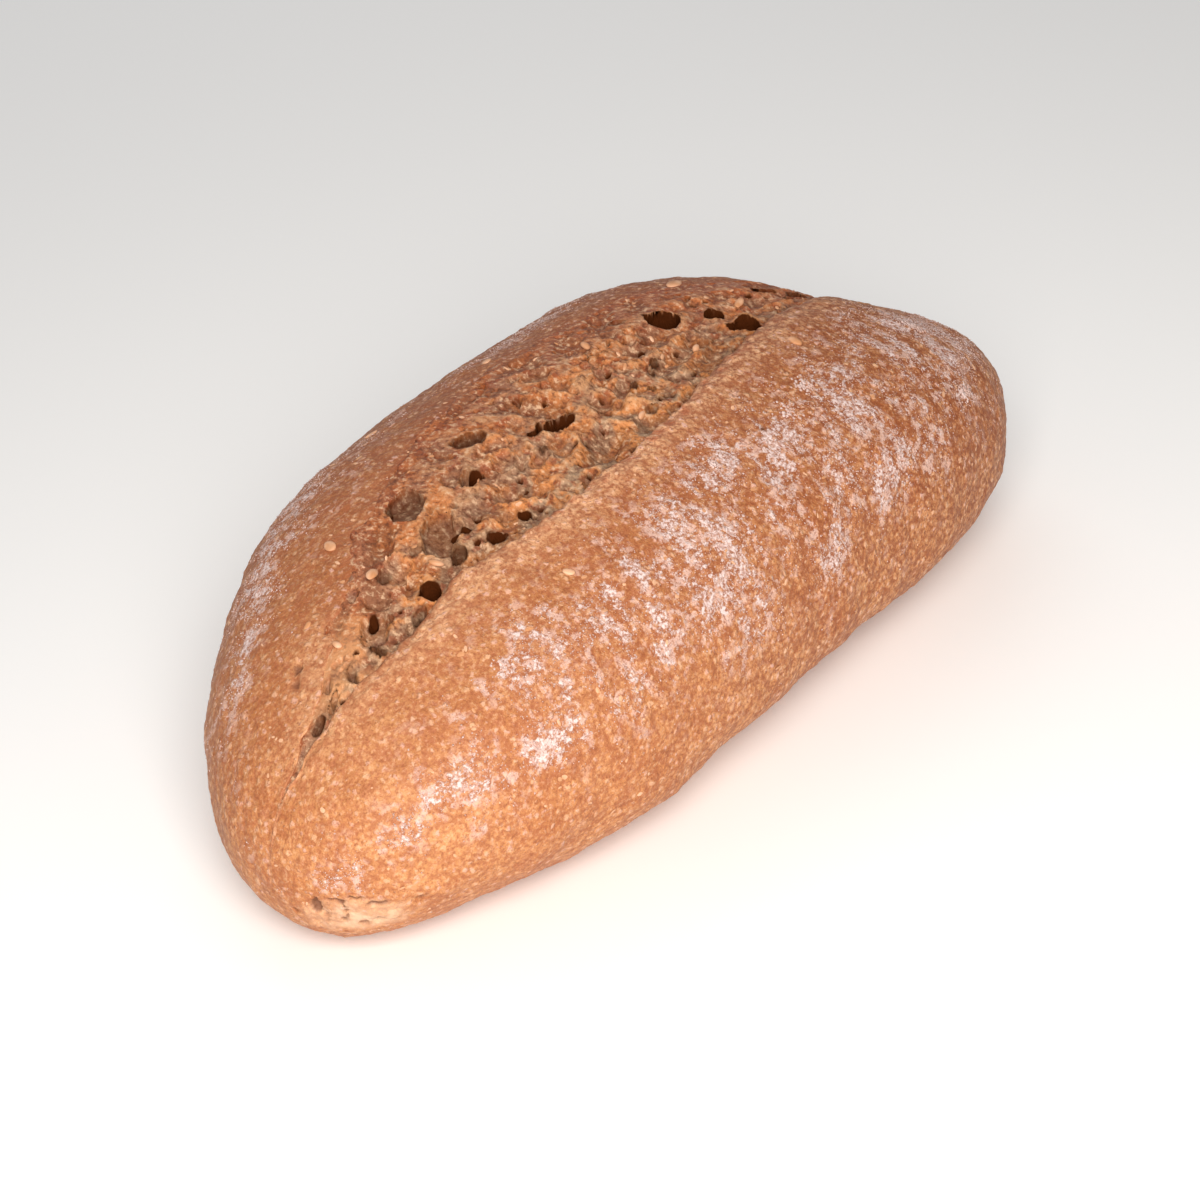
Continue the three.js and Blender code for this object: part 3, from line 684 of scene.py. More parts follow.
def crumb_surface(x, y, near, far):
    """Height of the crumb at (x, y) and its five looks; share is 0 at the near lip, 1 at the far one."""
    share = (y - near) / (far - near)
    open_here, flat, push = openness(x), on_the_flat(x, y), push_at(x, y)
    near_tip = ramp(x, *CRUMB_CLOSES)
    pore, rim, kept, dark = placed_cells(x, y, push)
    cells, pits = small_cells(x, y, push, share, kept)

    # Relief: long ridges, torn strands as the creases of a noise, lumps of crumb, and a rough near tip.
    bulge = np.zeros(x.shape)
    for place_x, place_y, long, wide, high, turn in BULGES:
        bulge = bulge + high * np.exp(-1.5 * turned_reach(x, y, place_x, place_y, long, wide, turn))
    ridge = 0.5 - 2.2 * np.abs(lumps(flat * [1, 1.4, 1], 8.0, 75))
    strands = np.abs(lumps(flat * [1.25, 0.85, 1], 2.1, 76))
    strands = strands + 0.5 * np.abs(lumps(flat * [1.2, 0.9, 1], 0.9, 79))
    grain = (0.4 * lumps(flat, 3.1, 77) + 0.16 * rough(flat, 1.0, 2, 78)) * (1 - 0.5 * kept)
    inside = np.sqrt(np.clip(np.sin(np.pi * np.clip(share, 0, 1)), 0, 1))
    relief = open_here * (RIDGE_RISE * ridge * inside * (1 - 0.6 * kept) + grain + bulge + rim - cells)
    relief = relief - STRAND_DEPTH * open_here * strands * (1 - 0.35 * kept)
    relief = relief + TIP_ROUGHNESS * near_tip * rough(flat, 2.0, 3, 83)

    # The slope down to the slashed lip, the crest before the torn lip, and the fringe over the crust.
    slope = EAR_DEPTH * open_here * (1 - 0.85 * near_tip) * np.clip(1 - share, 0, 1.3) ** EAR_SLOPE
    crest = CREST_RISE * open_here * bell((share - CREST_AT) / CREST_SPREAD)
    drop = np.maximum(LEAST_DROP, FAR_STEP + slope - crest - relief + pore + pits * open_here)
    fringe = ramp(y, far - 1.6, far)
    past = np.clip(y - far - 0.7 - 1.3 * lumps(flat, 3.4, 80), 0, 9)
    lapped = -0.12 - 0.3 * grain + 0.25 * strands + 0.8 * past
    drop = drop * (1 - fringe) + (lapped * open_here + 0.5 * (1 - open_here)) * fringe

    # How deep in a cell or pore: glassy grey-brown skin there, and painted shade.
    hollow = np.clip((pore + open_here * cells) / 2.6, 0, 1)
    baked = np.clip(0.1 + 0.8 * share + 0.35 * ramp(x, 5, 50), 0, 1)
    # How raised the crumb is: its ridges get a painted highlight, its low ground painted shade.
    proud = np.clip(0.35 + 0.9 * (relief + 0.5 * np.abs(rim)), 0, 1)
    # Painted shade: inside deep pores and small pits, and in the crease under the slashed lip's ear.
    shade_under_ear = 0.5 * np.clip(1 - 3 * share, 0, 1) * ramp(x, 5, 30)
    dark = np.maximum(dark, np.clip(pits * 1.6, 0, 1) * np.clip(3 - 3.2 * share, 0, 1))
    dark = np.maximum(dark, shade_under_ear) * (1 - fringe)
    return crown_height(x, y) - drop, [hollow, baked, proud, dark, near_tip * (1 - hollow)]


def drawn_in(x, y):
    """How far the points round a deep pore's mouth move towards its middle: most just outside the rim."""
    move_x, move_y = np.zeros(x.shape), np.zeros(x.shape)
    for place_x, place_y, long, wide, _, turn, draw in PORES:
        reach = np.sqrt(turned_reach(x, y, place_x, place_y, long, wide, turn))
        pull = draw * bell((reach - 1.08) / 0.16) - 0.8 * draw * bell((reach - 0.72) / 0.16)
        move_x = move_x - pull * (x - place_x)
        move_y = move_y - pull * (y - place_y)
    return move_x, move_y


# %% The crumb's slab
def crumb_grid():
    """The crumb's closed section at each station: its torn top, then a few lines under it in the loaf."""
    x = np.linspace(TEAR_START - 0.4, TEAR_END + 0.4, CRUMB_STATIONS)
    near, far = lips_at(x)
    open_here = openness(x)
    start = near - (EAR_UNDERCUT + 0.9) * open_here
    stop = far + OVERLAP * open_here
    across = np.linspace(0, 1, CRUMB_LINES)
    y = start[:, None] + (stop - start)[:, None] * across
    x_grid, y = brought_to_rims(np.broadcast_to(x[:, None], y.shape).copy(), y)
    z, looks = crumb_surface(x_grid, y, near[:, None], far[:, None])
    move_x, move_y = drawn_in(x_grid, y)
    top = np.stack([x_grid + move_x, y + move_y, z], -1)
    y_under = start[:, None] + (stop - start)[:, None] * np.linspace(1, 0, UNDER_LINES + 2)[1:-1]
    x_under = np.broadcast_to(x[:, None], y_under.shape)
    z_under = crown_height(x_under, y_under) - 0.4 - SLAB_DEPTH * open_here[:, None]
    under = np.stack([x_under, y_under, z_under], -1)
    return np.concatenate([top, under], 1), [np.pad(look, ((0, 0), (0, UNDER_LINES))) for look in looks]


crumb_points, crumb_looks = crumb_grid()
crumb_points = np.clip(crumb_points, BOX_LOW, BOX_HIGH)
crumb_mesh = closed_mesh("torn_crumb", crumb_points)
for look, values in zip(CRUMB_LOOKS, crumb_looks):
    keep_values(crumb_mesh, look, values)
crumb = piece_of(crumb_mesh)
print("crumb top at", round(float(crumb_points[..., 2].max()), 2), "mm")


# %% [markdown]
# ## What lies on the bread
#
# Flaked grain and bran came out of the dough with the crust, and flour was thrown over
# it. All of them are small closed bodies, so they are made from one round body: scaled
# flat for a flake, small and angular for a speck of flour. Each kind is one joined mesh,
# and each body stands on the skin with its own turn and its own size.

# %% One small round body, many places
def round_body(sides, rings):
    """Points and triangles of a ball of radius 1: rings of sides points between two poles."""
    polar = np.pi * np.arange(1, rings + 1) / (rings + 1)
    turn = 2 * np.pi * np.arange(sides) / sides
    ring = np.stack([np.sin(polar)[:, None] * np.cos(turn), np.sin(polar)[:, None] * np.sin(turn),
                     np.cos(polar)[:, None] + 0 * turn], -1).reshape(-1, 3)
    points = np.concatenate([[[0, 0, 1]], ring, [[0, 0, -1]]])
    top, quads, bottom = closed_faces(rings, sides)
    return points, np.concatenate([top, quads[:, :3], quads[:, [0, 2, 3]], bottom])


def strewn(name, body, places, normals, sizes, rng, uneven=0.0, round_edges=True):
    """One mesh of many bodies, each scaled by its sizes, turned about its normal and set at its place."""
    points, triangles = body
    normals = normals / np.linalg.norm(normals, axis=1, keepdims=True)
    aside = np.cross(normals, rng.normal(size=normals.shape))
    aside = aside / np.linalg.norm(aside, axis=1, keepdims=True)
    axes = np.stack([aside, np.cross(normals, aside), normals], 1)
    placed = places[:, None] + np.einsum("pk,nk,nkc->npc", points, sizes, axes)
    placed = placed + uneven * np.stack([lumps(placed, 1.1, 81 + a) for a in range(3)], -1)
    placed = np.clip(placed, BOX_LOW, BOX_HIGH)
    faces = triangles[None] + len(points) * np.arange(len(places))[:, None, None]
    return piece_of(new_mesh(name, placed.reshape(-1, 3), faces.reshape(-1, 3).tolist(), round_edges))


def drawn_places(grid, weight, count, rng):
    """Vertices of a grid picked at random: the chance is the area round the vertex times the weight."""
    area = np.linalg.norm(np.cross(np.gradient(grid, axis=0), np.gradient(grid, axis=1)), axis=-1)
    chance = (area * weight).ravel()
    picked = rng.choice(chance.size, count, replace=False, p=chance / chance.sum())
    places, normals = grid.reshape(-1, 3)[picked], grid_normals(grid).reshape(-1, 3)[picked]
    return places + 0.3 * np.cross(normals, rng.normal(size=normals.shape)), normals


def flake_sizes(rng, count, smallest, largest, least, most):
    """Half sizes of so many flakes: one size each, times three shares for its length, width and thickness."""
    return rng.uniform(smallest, largest, (count, 1)) * rng.uniform(least, most, (count, 3))


# %% Flour specks
SPECKS, CLOT_SPECKS, BRAN_FLECKS, CRUMB_FLECKS = 12000, 60, 1000, 110
rng = np.random.default_rng(7)
on_skin = ~in_trough & (crust_points[..., 2] > 2.0)
places, normals = drawn_places(dressed, (crust_flour * bare) ** 4 * on_skin, SPECKS, rng)
radius = rng.uniform(0.05, 0.12, len(places)) * rng.choice([1, 1, 1, 1, 1.6], len(places))
sizes = radius[:, None] * rng.uniform([0.8, 0.6, 0.45], [1.3, 1.1, 0.8], (len(places), 3))
strewn("flour_specks", round_body(4, 1), places + 0.03 * normals, normals, sizes, rng)

# %% Flour clots: heaps of specks, left where the dusting was damp
# [place along X, angle in degrees]
CLOTS = [(16, 123), (-1, 123), (22, 119), (48, 148), (-46, 126), (53, 118), (26, 154), (-10, 138), (-48, 155)]
clot_x, clot_angle = np.repeat(np.array(CLOTS, float), CLOT_SPECKS, axis=0).T
clot_x = clot_x + rng.normal(scale=0.8, size=clot_x.shape)
clot_angle = np.radians(clot_angle + rng.normal(scale=1.5, size=clot_x.shape))
places = skin_point(clot_x, clot_angle)
normals = places - skin_point(clot_x, clot_angle + np.pi) * [1, 1, 0.6]
sizes = flake_sizes(rng, len(places), 0.12, 0.3, [0.8, 0.6, 0.4], [1.3, 1.1, 0.7])
strewn("flour_clots", round_body(6, 2), places, normals, sizes, rng, uneven=0.08)

# %% Bran flecks in the skin of the crust and on the ridges of the crumb
places, normals = drawn_places(dressed, on_skin * (1 - 0.6 * crust_flour), BRAN_FLECKS, rng)
sizes = flake_sizes(rng, BRAN_FLECKS, 0.16, 0.42, [0.9, 0.5, 0.1], [1.5, 0.9, 0.18])
strewn("bran", round_body(7, 1), places, normals, sizes, rng, uneven=0.05, round_edges=False)

in_tear = slice(8, CRUMB_LINES - 8)   # the lines nearest to the lips are hidden or lie on the crust
crumb_top, hollow_there = crumb_points[:, in_tear], crumb_looks[0][:, in_tear]
on_ridges = (hollow_there < 0.1) & (crumb_top[..., 0] > -46) & (crumb_top[..., 0] < 55)
places, normals = drawn_places(crumb_top, on_ridges * 1.0, CRUMB_FLECKS, rng)
sizes = flake_sizes(rng, CRUMB_FLECKS, 0.2, 0.5, [0.9, 0.5, 0.2], [1.6, 0.9, 0.35])
strewn("crumb_bran", round_body(7, 1), places, normals, sizes, rng, uneven=0.05, round_edges=False)

# %% Flaked grains: [x, y, half length, half width]
def standing_at(grid, x, y):
    """The upper vertex of a grid nearest to each (x, y), and its normal."""
    gap = (grid[None, ..., 0] - x[:, None, None]) ** 2 + (grid[None, ..., 1] - y[:, None, None]) ** 2
    nearest = (gap + 1e4 * (grid[..., 2] < CROWN_LEVEL)).reshape(len(x), -1).argmin(1)
    return grid.reshape(-1, 3)[nearest], grid_normals(grid).reshape(-1, 3)[nearest]


CRUMB_GRAINS = [
    (38.8, 0.1, 1.3, 0.6), (3.9, -7.4, 0.9, 0.5), (-36.9, -4.4, 1.1, 0.6), (-43.1, 1.0, 1.2, 0.7),
    (-20.5, 9.6, 1.0, 0.5), (13.0, 9.0, 0.9, 0.6), (22.5, -3.5, 0.8, 0.5), (-53.5, -1.5, 0.8, 0.5),
]
grain_x, grain_y, grain_long, grain_wide = np.array(CRUMB_GRAINS).T
places, _ = standing_at(crumb_points[:, :CRUMB_LINES], grain_x, grain_y)
normals = np.array([0, -0.3, 1.0]) + rng.normal(scale=0.2, size=places.shape)
sizes = np.stack([grain_long, grain_wide, 0.35 + 0 * grain_long], -1)
strewn("crumb_grains", round_body(14, 5), places + 0.2 * normals, normals, sizes, rng, uneven=0.12)

CRUST_GRAINS = [
    (-40.8, 10.3, 1.3, 0.8), (39.8, 12.9, 1.9, 1.1), (-52.5, 4.5, 0.7, 0.4), (30.0, -15.5, 1.2, 0.8),
    (-30.0, -21.0, 0.9, 0.5), (5.0, 21.0, 1.0, 0.6), (-15.0, 26.0, 1.1, 0.6), (58.0, -12.0, 0.9, 0.6),
    (-60.0, -14.0, 0.8, 0.4),
]
grain_x, grain_y, grain_long, grain_wide = np.array(CRUST_GRAINS).T
places, normals = standing_at(crust_points, grain_x, grain_y)
sizes = np.stack([grain_long, grain_wide, 0.4 * grain_wide], -1)
strewn("crust_grains", round_body(14, 5), places, normals, sizes, rng, uneven=0.12)


# %% [markdown]
# ## Materials
#
# All colours are given as the eye reads them on the bread (sRGB hex) and turned linear
# by one function. Pattern sizes are real millimetres: a pattern with cells of so many
# millimetres has its scale from `per_metre`. The colour of a crust is built up in
# layers, as it came about in the oven, so a loop lays one row of a table after another
# over what is there.

# %% Nodes
def linear(colour):
    """The linear red, green, blue and alpha of an sRGB hex colour: the sRGB curve undone for each channel."""
    channels = [int(colour[i:i + 2], 16) / 255 for i in (1, 3, 5)]
    return [c / 12.92 if c <= 0.04045 else ((c + 0.055) / 1.055) ** 2.4 for c in channels] + [1.0]


def per_metre(pitch):
    """The scale of a pattern whose cells are pitch millimetres wide."""
    return 1000.0 / pitch


def add(tree, kind, inputs=(), **settings):
    """One node with its settings; an input is a value, a hex colour, or the socket of another node."""
    node = tree.nodes.new("ShaderNode" + kind)
    for name, value in settings.items():
        setattr(node, name, value)
    for key, value in dict(inputs).items():
        if isinstance(value, bpy.types.NodeSocket):
            tree.links.new(value, node.inputs[key])
        else:
            node.inputs[key].default_value = linear(value) if isinstance(value, str) else value
    return node


def new_material(name):
    """An empty material with its tree, its Object coordinates and its output node."""
    material = bpy.data.materials.new(name)
    material.use_nodes = True
    tree = material.node_tree
    tree.nodes.clear()
    place = add(tree, "TexCoord").outputs["Object"]
    return material, tree, place, add(tree, "OutputMaterial").inputs["Surface"]


# %% [markdown]
# ### The crust
#
# A floured wholemeal crust is matt. Its colour isn't even: orange-tan where it stayed
# paler, brown on the crown, and peppered with pale dots of bran and starch about a
# millimetre apart. The crown, the far side, the far end, the finest crevices and the
# splits are darkened further by painted shade. Flour isn't a wash of white over it but
# grains: where there is more flour there are more of them, so the flour value moves the
# threshold of a fine noise.

# %% Crust: baked wholemeal skin, dusted by hand
crust_material, tree, place, surface = new_material("baked_wholemeal_crust_dusted_by_hand")
flour, edge, scorched, torn, split = (
    add(tree, "Attribute", attribute_name=name).outputs["Fac"] for name in CRUST_LOOKS)
where = add(tree, "SeparateXYZ", {"Vector": place}).outputs

SKIN_NOISES = {                 # size in millimetres, octaves, roughness
    "patches": (12, 4, 0.5),    # the uneven heat of the oven
    "blotches": (3.6, 3, 0.5),  # blisters
    "shreds": (2, 4, 0.5),      # torn dough
    "grit": (0.9, 5, 0.75),     # grains of flour
    "mottle": (0.6, 4, 0.75),   # baked dough, not paint
    "pores": (0.55, 3, 0.7),    # the finest crevices
    "heap": (0.45, 2, 0.5),     # thick and thin flour
}
noise = {
    name: add(tree, "TexNoise", {"Vector": place, "Scale": per_metre(size), "Detail": octaves,
                                 "Roughness": roughness}).outputs["Fac"]
    for name, (size, octaves, roughness) in SKIN_NOISES.items()}

# %% Crust: how brown it is, and where shade is painted on it
browning = add(tree, "MapRange", {"Value": noise["patches"], "From Min": 0.38, "From Max": 0.62})
colour = add(tree, "Mix", {0: browning.outputs[0], 6: "#D1905B", 7: "#C37D49"}, data_type="RGBA").outputs[2]
# The far end is darker, not its foot: partly browner, partly painted shade where the light falls off.
toward_far_end = add(tree, "MapRange", {"Value": where["X"], "From Min": -0.05, "From Max": 0.06, "To Max": 0.36})
raised = add(tree, "MapRange", {"Value": where["Z"], "From Min": 0.006, "From Max": 0.026, "To Min": 0.2})
far_end_browning_and_shade = add(tree, "Math", {0: toward_far_end.outputs[0], 1: raised.outputs[0]}, operation="MULTIPLY").outputs[0]

# Each layer: what drives it, where it begins and where it is full, how much it then covers, its colour.
BROWNING_AND_SHADE_LAYERS = [
    (where["Z"], 0.02, 0.044, 0.6, "#9C5E34"),    # the crown is darker: browner from facing the hot air longest, and painted shade
    (far_end_browning_and_shade, 0.0, 1.0, 1.0, "#A2592E"),           # the far end is darker, not its foot: it lay nearer the oven's heat, and painted shade
    (where["Y"], -0.004, 0.02, 0.35, "#8A4C24"),  # the far side is darker: browner, and painted shade on the side turned from the light
    (edge, 0.0, 1.0, 1.0, "#FBC497"),             # skin that opened last is paler at the slashed lip
    (edge, 0.62, 0.85, 0.75, "#BE5F34"),          # with a redder rim
    (scorched, 0.0, 1.0, 1.0, "#9A5128"),         # and scorched at the torn lip
    (noise["blotches"], 0.5, 0.68, 0.2, "#E2A672"),
    (noise["blotches"], 0.48, 0.34, 0.3, "#9A5228"),
    (flour, 0.1, 0.7, 0.42, "#BC7F62"),           # skin under the dusting dried before it could brown
]
for value, begins, full, covers, tone in BROWNING_AND_SHADE_LAYERS:
    share = add(tree, "MapRange", {"Value": value, "From Min": begins, "From Max": full, "To Max": covers})
    colour = add(tree, "Mix", {0: share.outputs["Result"], 6: colour, 7: tone}, data_type="RGBA").outputs[2]

# %% Crust: its grains
# Starch and bran in the skin make irregular grains, about a millimetre apart, some pale, some rosy,
# with redder dough between them: cells drawn out of shape by a noise.
stir = add(tree, "TexNoise", {"Vector": place, "Scale": per_metre(0.8), "Detail": 3.0}).outputs["Color"]
bent = add(tree, "VectorMath", {0: stir, 1: (0.0011,) * 3, 2: place}, operation="MULTIPLY_ADD").outputs[0]
dots = add(tree, "TexVoronoi", {"Vector": bent, "Scale": per_metre(0.95), "Randomness": 1.0}).outputs
own = add(tree, "SeparateColor", {"Color": dots["Color"]}).outputs
contrast = add(tree, "MapRange", {"Value": where["X"], "From Min": -0.06, "From Max": 0.04,
                                  "To Min": 0.58, "To Max": 0.78}).outputs["Result"]
reach = add(tree, "MapRange", {"Value": own["Red"], "To Min": -0.05, "To Max": 0.52}).outputs["Result"]
inward = add(tree, "Math", {0: reach, 1: dots["Distance"]}, operation="SUBTRACT").outputs["Value"]
rosy = add(tree, "Mix", {0: own["Green"], 6: "#E9B78E", 7: "#E4B4A8"}, data_type="RGBA").outputs[2]
further = add(tree, "MapRange", {"Value": where["X"], "From Min": -0.06, "From Max": 0.03}).outputs["Result"]
redder = add(tree, "Mix", {0: further, 6: "#A8603C", 7: "#904A27"}, data_type="RGBA").outputs[2]
fleck = add(tree, "Mix", {0: 0.5, 6: redder, 7: "#6E3415"}, data_type="RGBA").outputs[2]

# %% Crust: its flour
# Between its clouds the flour lies in clumps a millimetre or two wide, half melted into the skin.
clumps = add(tree, "TexNoise", {"Vector": bent, "Scale": per_metre(1.6), "Detail": 4.0}).outputs["Fac"]
clumps = add(tree, "MapRange", {"Value": clumps, "From Min": 0.53, "From Max": 0.6, "To Max": 0.72})
dusted = add(tree, "MapRange", {"Value": flour, "From Min": 0.08, "From Max": 0.4})
clumped = add(tree, "Math", {0: clumps.outputs[0], 1: dusted.outputs[0]}, operation="MULTIPLY").outputs[0]

# In the clouds it lies in grains: a fine noise against a threshold that falls as the flour thickens.
needed = add(tree, "MapRange", {"Value": flour, "To Min": 0.72, "To Max": 0.43}).outputs["Result"]
over = add(tree, "Math", {0: noise["grit"], 1: needed}, operation="SUBTRACT").outputs["Value"]
thick = add(tree, "MapRange", {"Value": noise["heap"], "From Min": 0.42, "From Max": 0.6}).outputs["Result"]
powder = add(tree, "Mix", {0: thick, 6: "#C49C90", 7: "#F0DEDB"}, data_type="RGBA").outputs[2]

# %% Crust: everything laid over the browned skin
shreds = add(tree, "MapRange", {"Value": noise["shreds"], "From Min": 0.42, "From Max": 0.58,
                                "To Min": 0.35, "To Max": 0.85}).outputs["Result"]
frayed = add(tree, "Math", {0: torn, 1: shreds}, operation="MULTIPLY").outputs["Value"]
GRAIN_LAYERS = [
    ("dough between", inward, -0.15, -0.5, contrast, redder),
    ("dotted", inward, -0.05, 0.18, contrast, rosy),
    ("clumped flour", clumped, 0.0, 1.0, 1.0, "#E4BFB1"),
    ("dark mottle", noise["mottle"], 0.47, 0.37, contrast, fleck),
    ("pale mottle", noise["mottle"], 0.53, 0.66, 0.42, "#EBBB92"),
    ("floured", over, -0.02, 0.07, 0.82, powder),
    ("crevices", noise["pores"], 0.44, 0.36, contrast, redder),   # painted shade in the finest crevices, in the dough's redder colour; it stays over the flour too
    ("torn dough", frayed, 0.0, 1.0, 1.0, "#F2C9A6"),             # paler and pinker
    ("gaping splits", split, 0.1, 0.6, 0.85, "#734630"),          # painted shade, deep brown, the more the deeper the split or pit
]
laid = {}
for name, value, begins, full, covers, tone in GRAIN_LAYERS:
    laid[name] = add(tree, "MapRange", {"Value": value, "From Min": begins, "From Max": full,
                                        "To Max": covers}).outputs["Result"]
    colour = add(tree, "Mix", {0: laid[name], 6: colour, 7: tone}, data_type="RGBA").outputs[2]

# Relief too fine for the mesh: crevices, grains that stand up a little, and grains of flour.
relief = {}
for strength, rise, height in ((0.8, 0.0003, noise["pores"]), (0.6, 0.0002, laid["dotted"]),
                               (0.6, 0.0001, laid["floured"])):
    bump = add(tree, "Bump", {"Strength": strength, "Distance": rise, "Height": height, **relief})
    relief = {"Normal": bump.outputs["Normal"]}
matt = add(tree, "MapRange", {"Value": laid["floured"], "To Min": 0.56, "To Max": 0.95}).outputs["Result"]
skin = add(tree, "BsdfPrincipled", {"Base Color": colour, "Roughness": matt, "Specular IOR Level": 0.35,
                                    **relief})
tree.links.new(skin.outputs["BSDF"], surface)
crust.data.materials.append(crust_material)

# %% [markdown]
# ### The crumb
#
# The walls of opened gas cells dried in the oven's heat with a thin glassy skin of
# starch, so the hollows are grey-brown with tiny glints, while the ridges between them
# caught the heat and are toasted orange-tan, most of all along the torn lip. On top of
# that, ridges are lightened by a painted highlight, and the hollows, the low ground and
# the insides of deep pores are darkened by painted shade.

# %% Crumb: torn wholemeal crumb, toasted on its ridges
crumb_material, tree, place, surface = new_material("torn_wholemeal_crumb_toasted_on_its_ridges")
hollow, baked, proud, dark, skinned = (
    add(tree, "Attribute", attribute_name=name).outputs["Fac"] for name in CRUMB_LOOKS)
clouds = add(tree, "TexNoise", {"Vector": place, "Scale": per_metre(4), "Detail": 5.0}).outputs["Fac"]
toasting = add(tree, "TexNoise", {"Vector": place, "Scale": per_metre(2.2), "Detail": 4.0}).outputs["Fac"]
drawn_out = add(tree, "VectorMath", {0: place, 1: (1.2, 0.9, 1.0)}, operation="MULTIPLY").outputs[0]
fibres = add(tree, "TexNoise", {"Vector": drawn_out, "Scale": per_metre(0.9), "Detail": 5.0,
                                "Roughness": 0.7}).outputs["Fac"]
grown_over = add(tree, "MapRange", {"Value": clouds, "From Min": 0.6, "From Max": 0.4,
                                    "To Max": 0.8}).outputs["Result"]
overgrown = add(tree, "Math", {0: skinned, 1: grown_over}, operation="MULTIPLY").outputs["Value"]

# %% Crumb: its colour
greyer = add(tree, "MapRange", {"Value": clouds, "From Min": 0.45, "From Max": 0.55}).outputs["Result"]
colour = add(tree, "Mix", {0: greyer, 6: "#DC8E50", 7: "#A98668"}, data_type="RGBA").outputs[2]
CRUMB_LAYERS = [
    (baked, 0.25, 1.0, 0.88, "#A85222"),     # toast, towards the torn lip and the far end
    (toasting, 0.53, 0.6, 0.65, "#9A4318"),  # redder toasted patches
    (proud, 0.4, 0.9, 0.6, "#E3A570"),       # ridges, lightened as a painted highlight
    (proud, 0.3, 0.0, 0.5, "#754220"),       # the low ground between them, darkened as painted shade
    (hollow, 0.1, 0.5, 0.7, "#876650"),      # the glassy grey-brown skin of opened cells, and painted shade in the hollows
    (fibres, 0.53, 0.64, 0.75, "#E9C09A"),
    (fibres, 0.48, 0.36, 0.8, "#642E12"),
    (overgrown, 0.0, 1.0, 1.0, "#E2A877"),   # near its tip the tear skinned over again
    (dark, 0.0, 1.0, 1.0, "#48220E"),        # painted shade inside deep pores, in small pits and under the slashed lip's ear
]
for value, begins, full, covers, tone in CRUMB_LAYERS:
    share = add(tree, "MapRange", {"Value": value, "From Min": begins, "From Max": full, "To Max": covers})
    colour = add(tree, "Mix", {0: share.outputs["Result"], 6: colour, 7: tone}, data_type="RGBA").outputs[2]

glassy = add(tree, "MapRange", {"Value": hollow, "To Min": 0.5, "To Max": 0.22}).outputs["Result"]
# Where shade is painted, the crumb also loses its shine.
lit = add(tree, "MapRange", {"Value": dark, "To Min": 0.4, "To Max": 0.0}).outputs["Result"]
bump = add(tree, "Bump", {"Strength": 0.8, "Distance": 0.0005, "Height": fibres}).outputs["Normal"]
wall = add(tree, "BsdfPrincipled", {"Base Color": colour, "Roughness": glassy, "Specular IOR Level": lit,
                                    "Normal": bump})
tree.links.new(wall.outputs["BSDF"], surface)
crumb.data.materials.append(crumb_material)

# %% [markdown]
# ### Grain and flour
#
# Flaked grain is straw-coloured and a little waxy. Loose flour is dull and never pure
# white: the brown crust shows through and warms it. Both are two tones of one stuff, so
# one loop makes them: pattern size in millimetres, tones, roughness, shine, pieces.

# %% Flaked grain and bran, baked in; loose wheat flour, caught on the skin
SMALL_THINGS = {
    "flaked_grain_and_bran_baked_in":
        (2.5, "#E2B08C", "#CC8F62", 0.5, 0.4, ("bran", "crumb_bran", "crumb_grains", "crust_grains")),
    "loose_wheat_flour_caught_on_the_skin":
        (3.0, "#DCC3BC", "#C9A699", 0.95, 0.1, ("flour_specks", "flour_clots")),
}
for name, (size, pale, deep, roughness, shine, pieces) in SMALL_THINGS.items():
    material, tree, place, surface = new_material(name)
    tones = add(tree, "TexNoise", {"Vector": place, "Scale": per_metre(size), "Detail": 2.0}).outputs["Fac"]
    tones = add(tree, "MapRange", {"Value": tones, "From Min": 0.4, "From Max": 0.6}).outputs["Result"]
    colour = add(tree, "Mix", {0: tones, 6: pale, 7: deep}, data_type="RGBA").outputs[2]
    stuff = add(tree, "BsdfPrincipled", {"Base Color": colour, "Roughness": roughness,
                                         "Specular IOR Level": shine})
    tree.links.new(stuff.outputs["BSDF"], surface)
    for piece in pieces:
        bpy.data.objects[piece].data.materials.append(material)
print("materials:", [m.name for m in bpy.data.materials if m.users])

# %% [markdown]
# ## Floor, light and camera
#
# The photograph is a catalogue picture on white: one broad soft light from the left
# front, a weaker one from behind, and white all round. The camera's place was solved
# from the outline of the roll.

# %% Floor and light
FLOOR_CORNERS = 2000 * np.array([(-1, -1, 0), (1, -1, 0), (1, 1, 0), (-1, 1, 0)])
floor_mesh = new_mesh("floor", FLOOR_CORNERS, [(0, 1, 2, 3)], smooth=False)
floor = bpy.data.objects.new("floor", floor_mesh)
bpy.context.scene.collection.objects.link(floor)
floor_material, tree, place, surface = new_material("pale_matt_floor")
plain = add(tree, "BsdfPrincipled", {"Base Color": "#FFFFFF", "Roughness": 0.9})
tree.links.new(plain.outputs["BSDF"], surface)
floor_mesh.materials.append(floor_material)


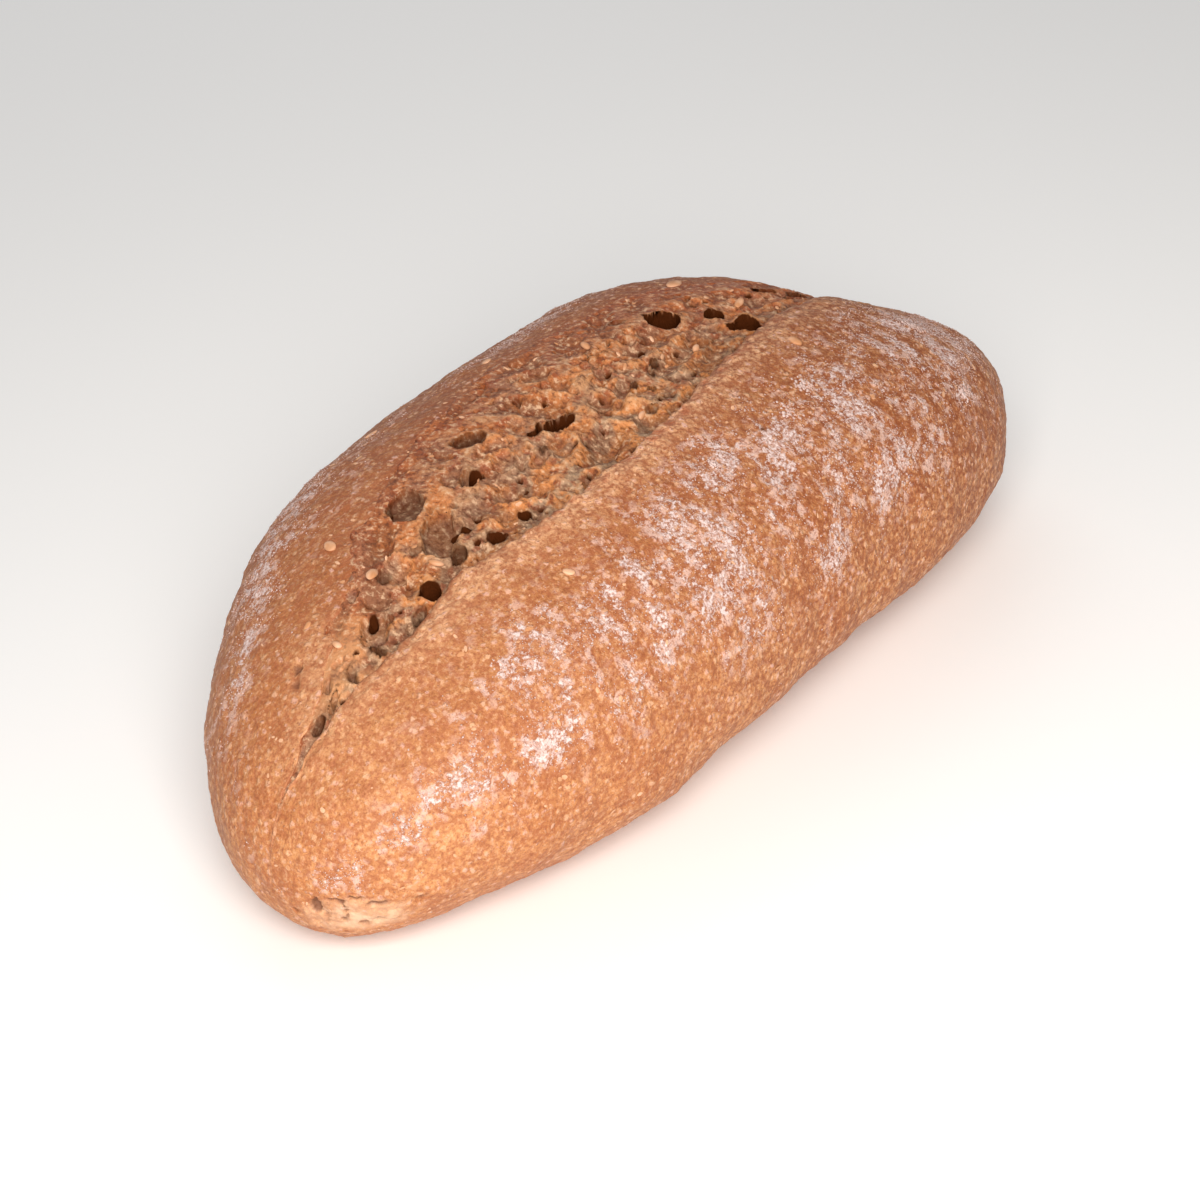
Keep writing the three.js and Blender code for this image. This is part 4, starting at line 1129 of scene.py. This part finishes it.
def from_camera_axes(back, up_hint, roll):
    """The camera's right, up and back axes, rolled about its line of sight."""
    right = np.cross(up_hint, back)
    right = right / np.linalg.norm(right)
    up = np.cross(back, right)
    c, s = np.cos(roll), np.sin(roll)
    return np.stack([c * right + s * up, c * up - s * right, back], 1)


def set_in_place(thing, axes, place):
    """Turns a camera or a light so that its own axes are the given ones, at a place in mm."""
    matrix = np.eye(4)
    matrix[:3, :3] = axes
    matrix[:3, 3] = np.array(place) * MM
    thing.matrix_world = matrix.T


def soft_light(name, place, size, power, colour):
    """A square area light of size mm, aimed at the middle of the roll."""
    lamp = bpy.data.lights.new(name, "AREA")
    lamp.shape, lamp.size = "SQUARE", size * MM
    lamp.energy, lamp.color = power, linear(colour)[:3]
    thing = bpy.data.objects.new(name, lamp)
    bpy.context.scene.collection.objects.link(thing)
    back = np.array(place, float) - [0, 0, 20]
    set_in_place(thing, from_camera_axes(back / np.linalg.norm(back), [0, 0, 1], 0), place)


soft_light("window_left_front", (-300, -270, 310), 300, 3.0, "#FFFAF4")
soft_light("reflector_behind", (350, 420, 500), 600, 1.0, "#FFFFFF")

ROOM_LIGHT = 0.27
world = bpy.data.worlds.new("white_room")
bpy.context.scene.world = world
world.use_nodes = True
world.node_tree.nodes["Background"].inputs["Color"].default_value = linear("#FFFFFF")
world.node_tree.nodes["Background"].inputs["Strength"].default_value = ROOM_LIGHT

# %% Camera
AZIMUTH, ELEVATION, ROLL = np.radians([-50.3, 33.0, -5.0])
DISTANCE = 357.92
TARGET = np.array([-6.91, -6.25, 16.3])
FOCAL_LENGTH = 76.665   # on a sensor 36 mm wide

lens = bpy.data.cameras.new("photo_camera")
lens.lens, lens.sensor_width, lens.sensor_fit = FOCAL_LENGTH, 36.0, "HORIZONTAL"
lens.clip_start, lens.clip_end = 0.01, 10.0
camera = bpy.data.objects.new("photo_camera", lens)
bpy.context.scene.collection.objects.link(camera)
bpy.context.scene.camera = camera
level = np.cos(ELEVATION)
toward = np.array([np.sin(AZIMUTH) * level, -np.cos(AZIMUTH) * level, np.sin(ELEVATION)])
set_in_place(camera, from_camera_axes(toward, [0, 0, 1], ROLL), TARGET + DISTANCE * toward)
bpy.context.scene.view_settings.view_transform = "Standard"
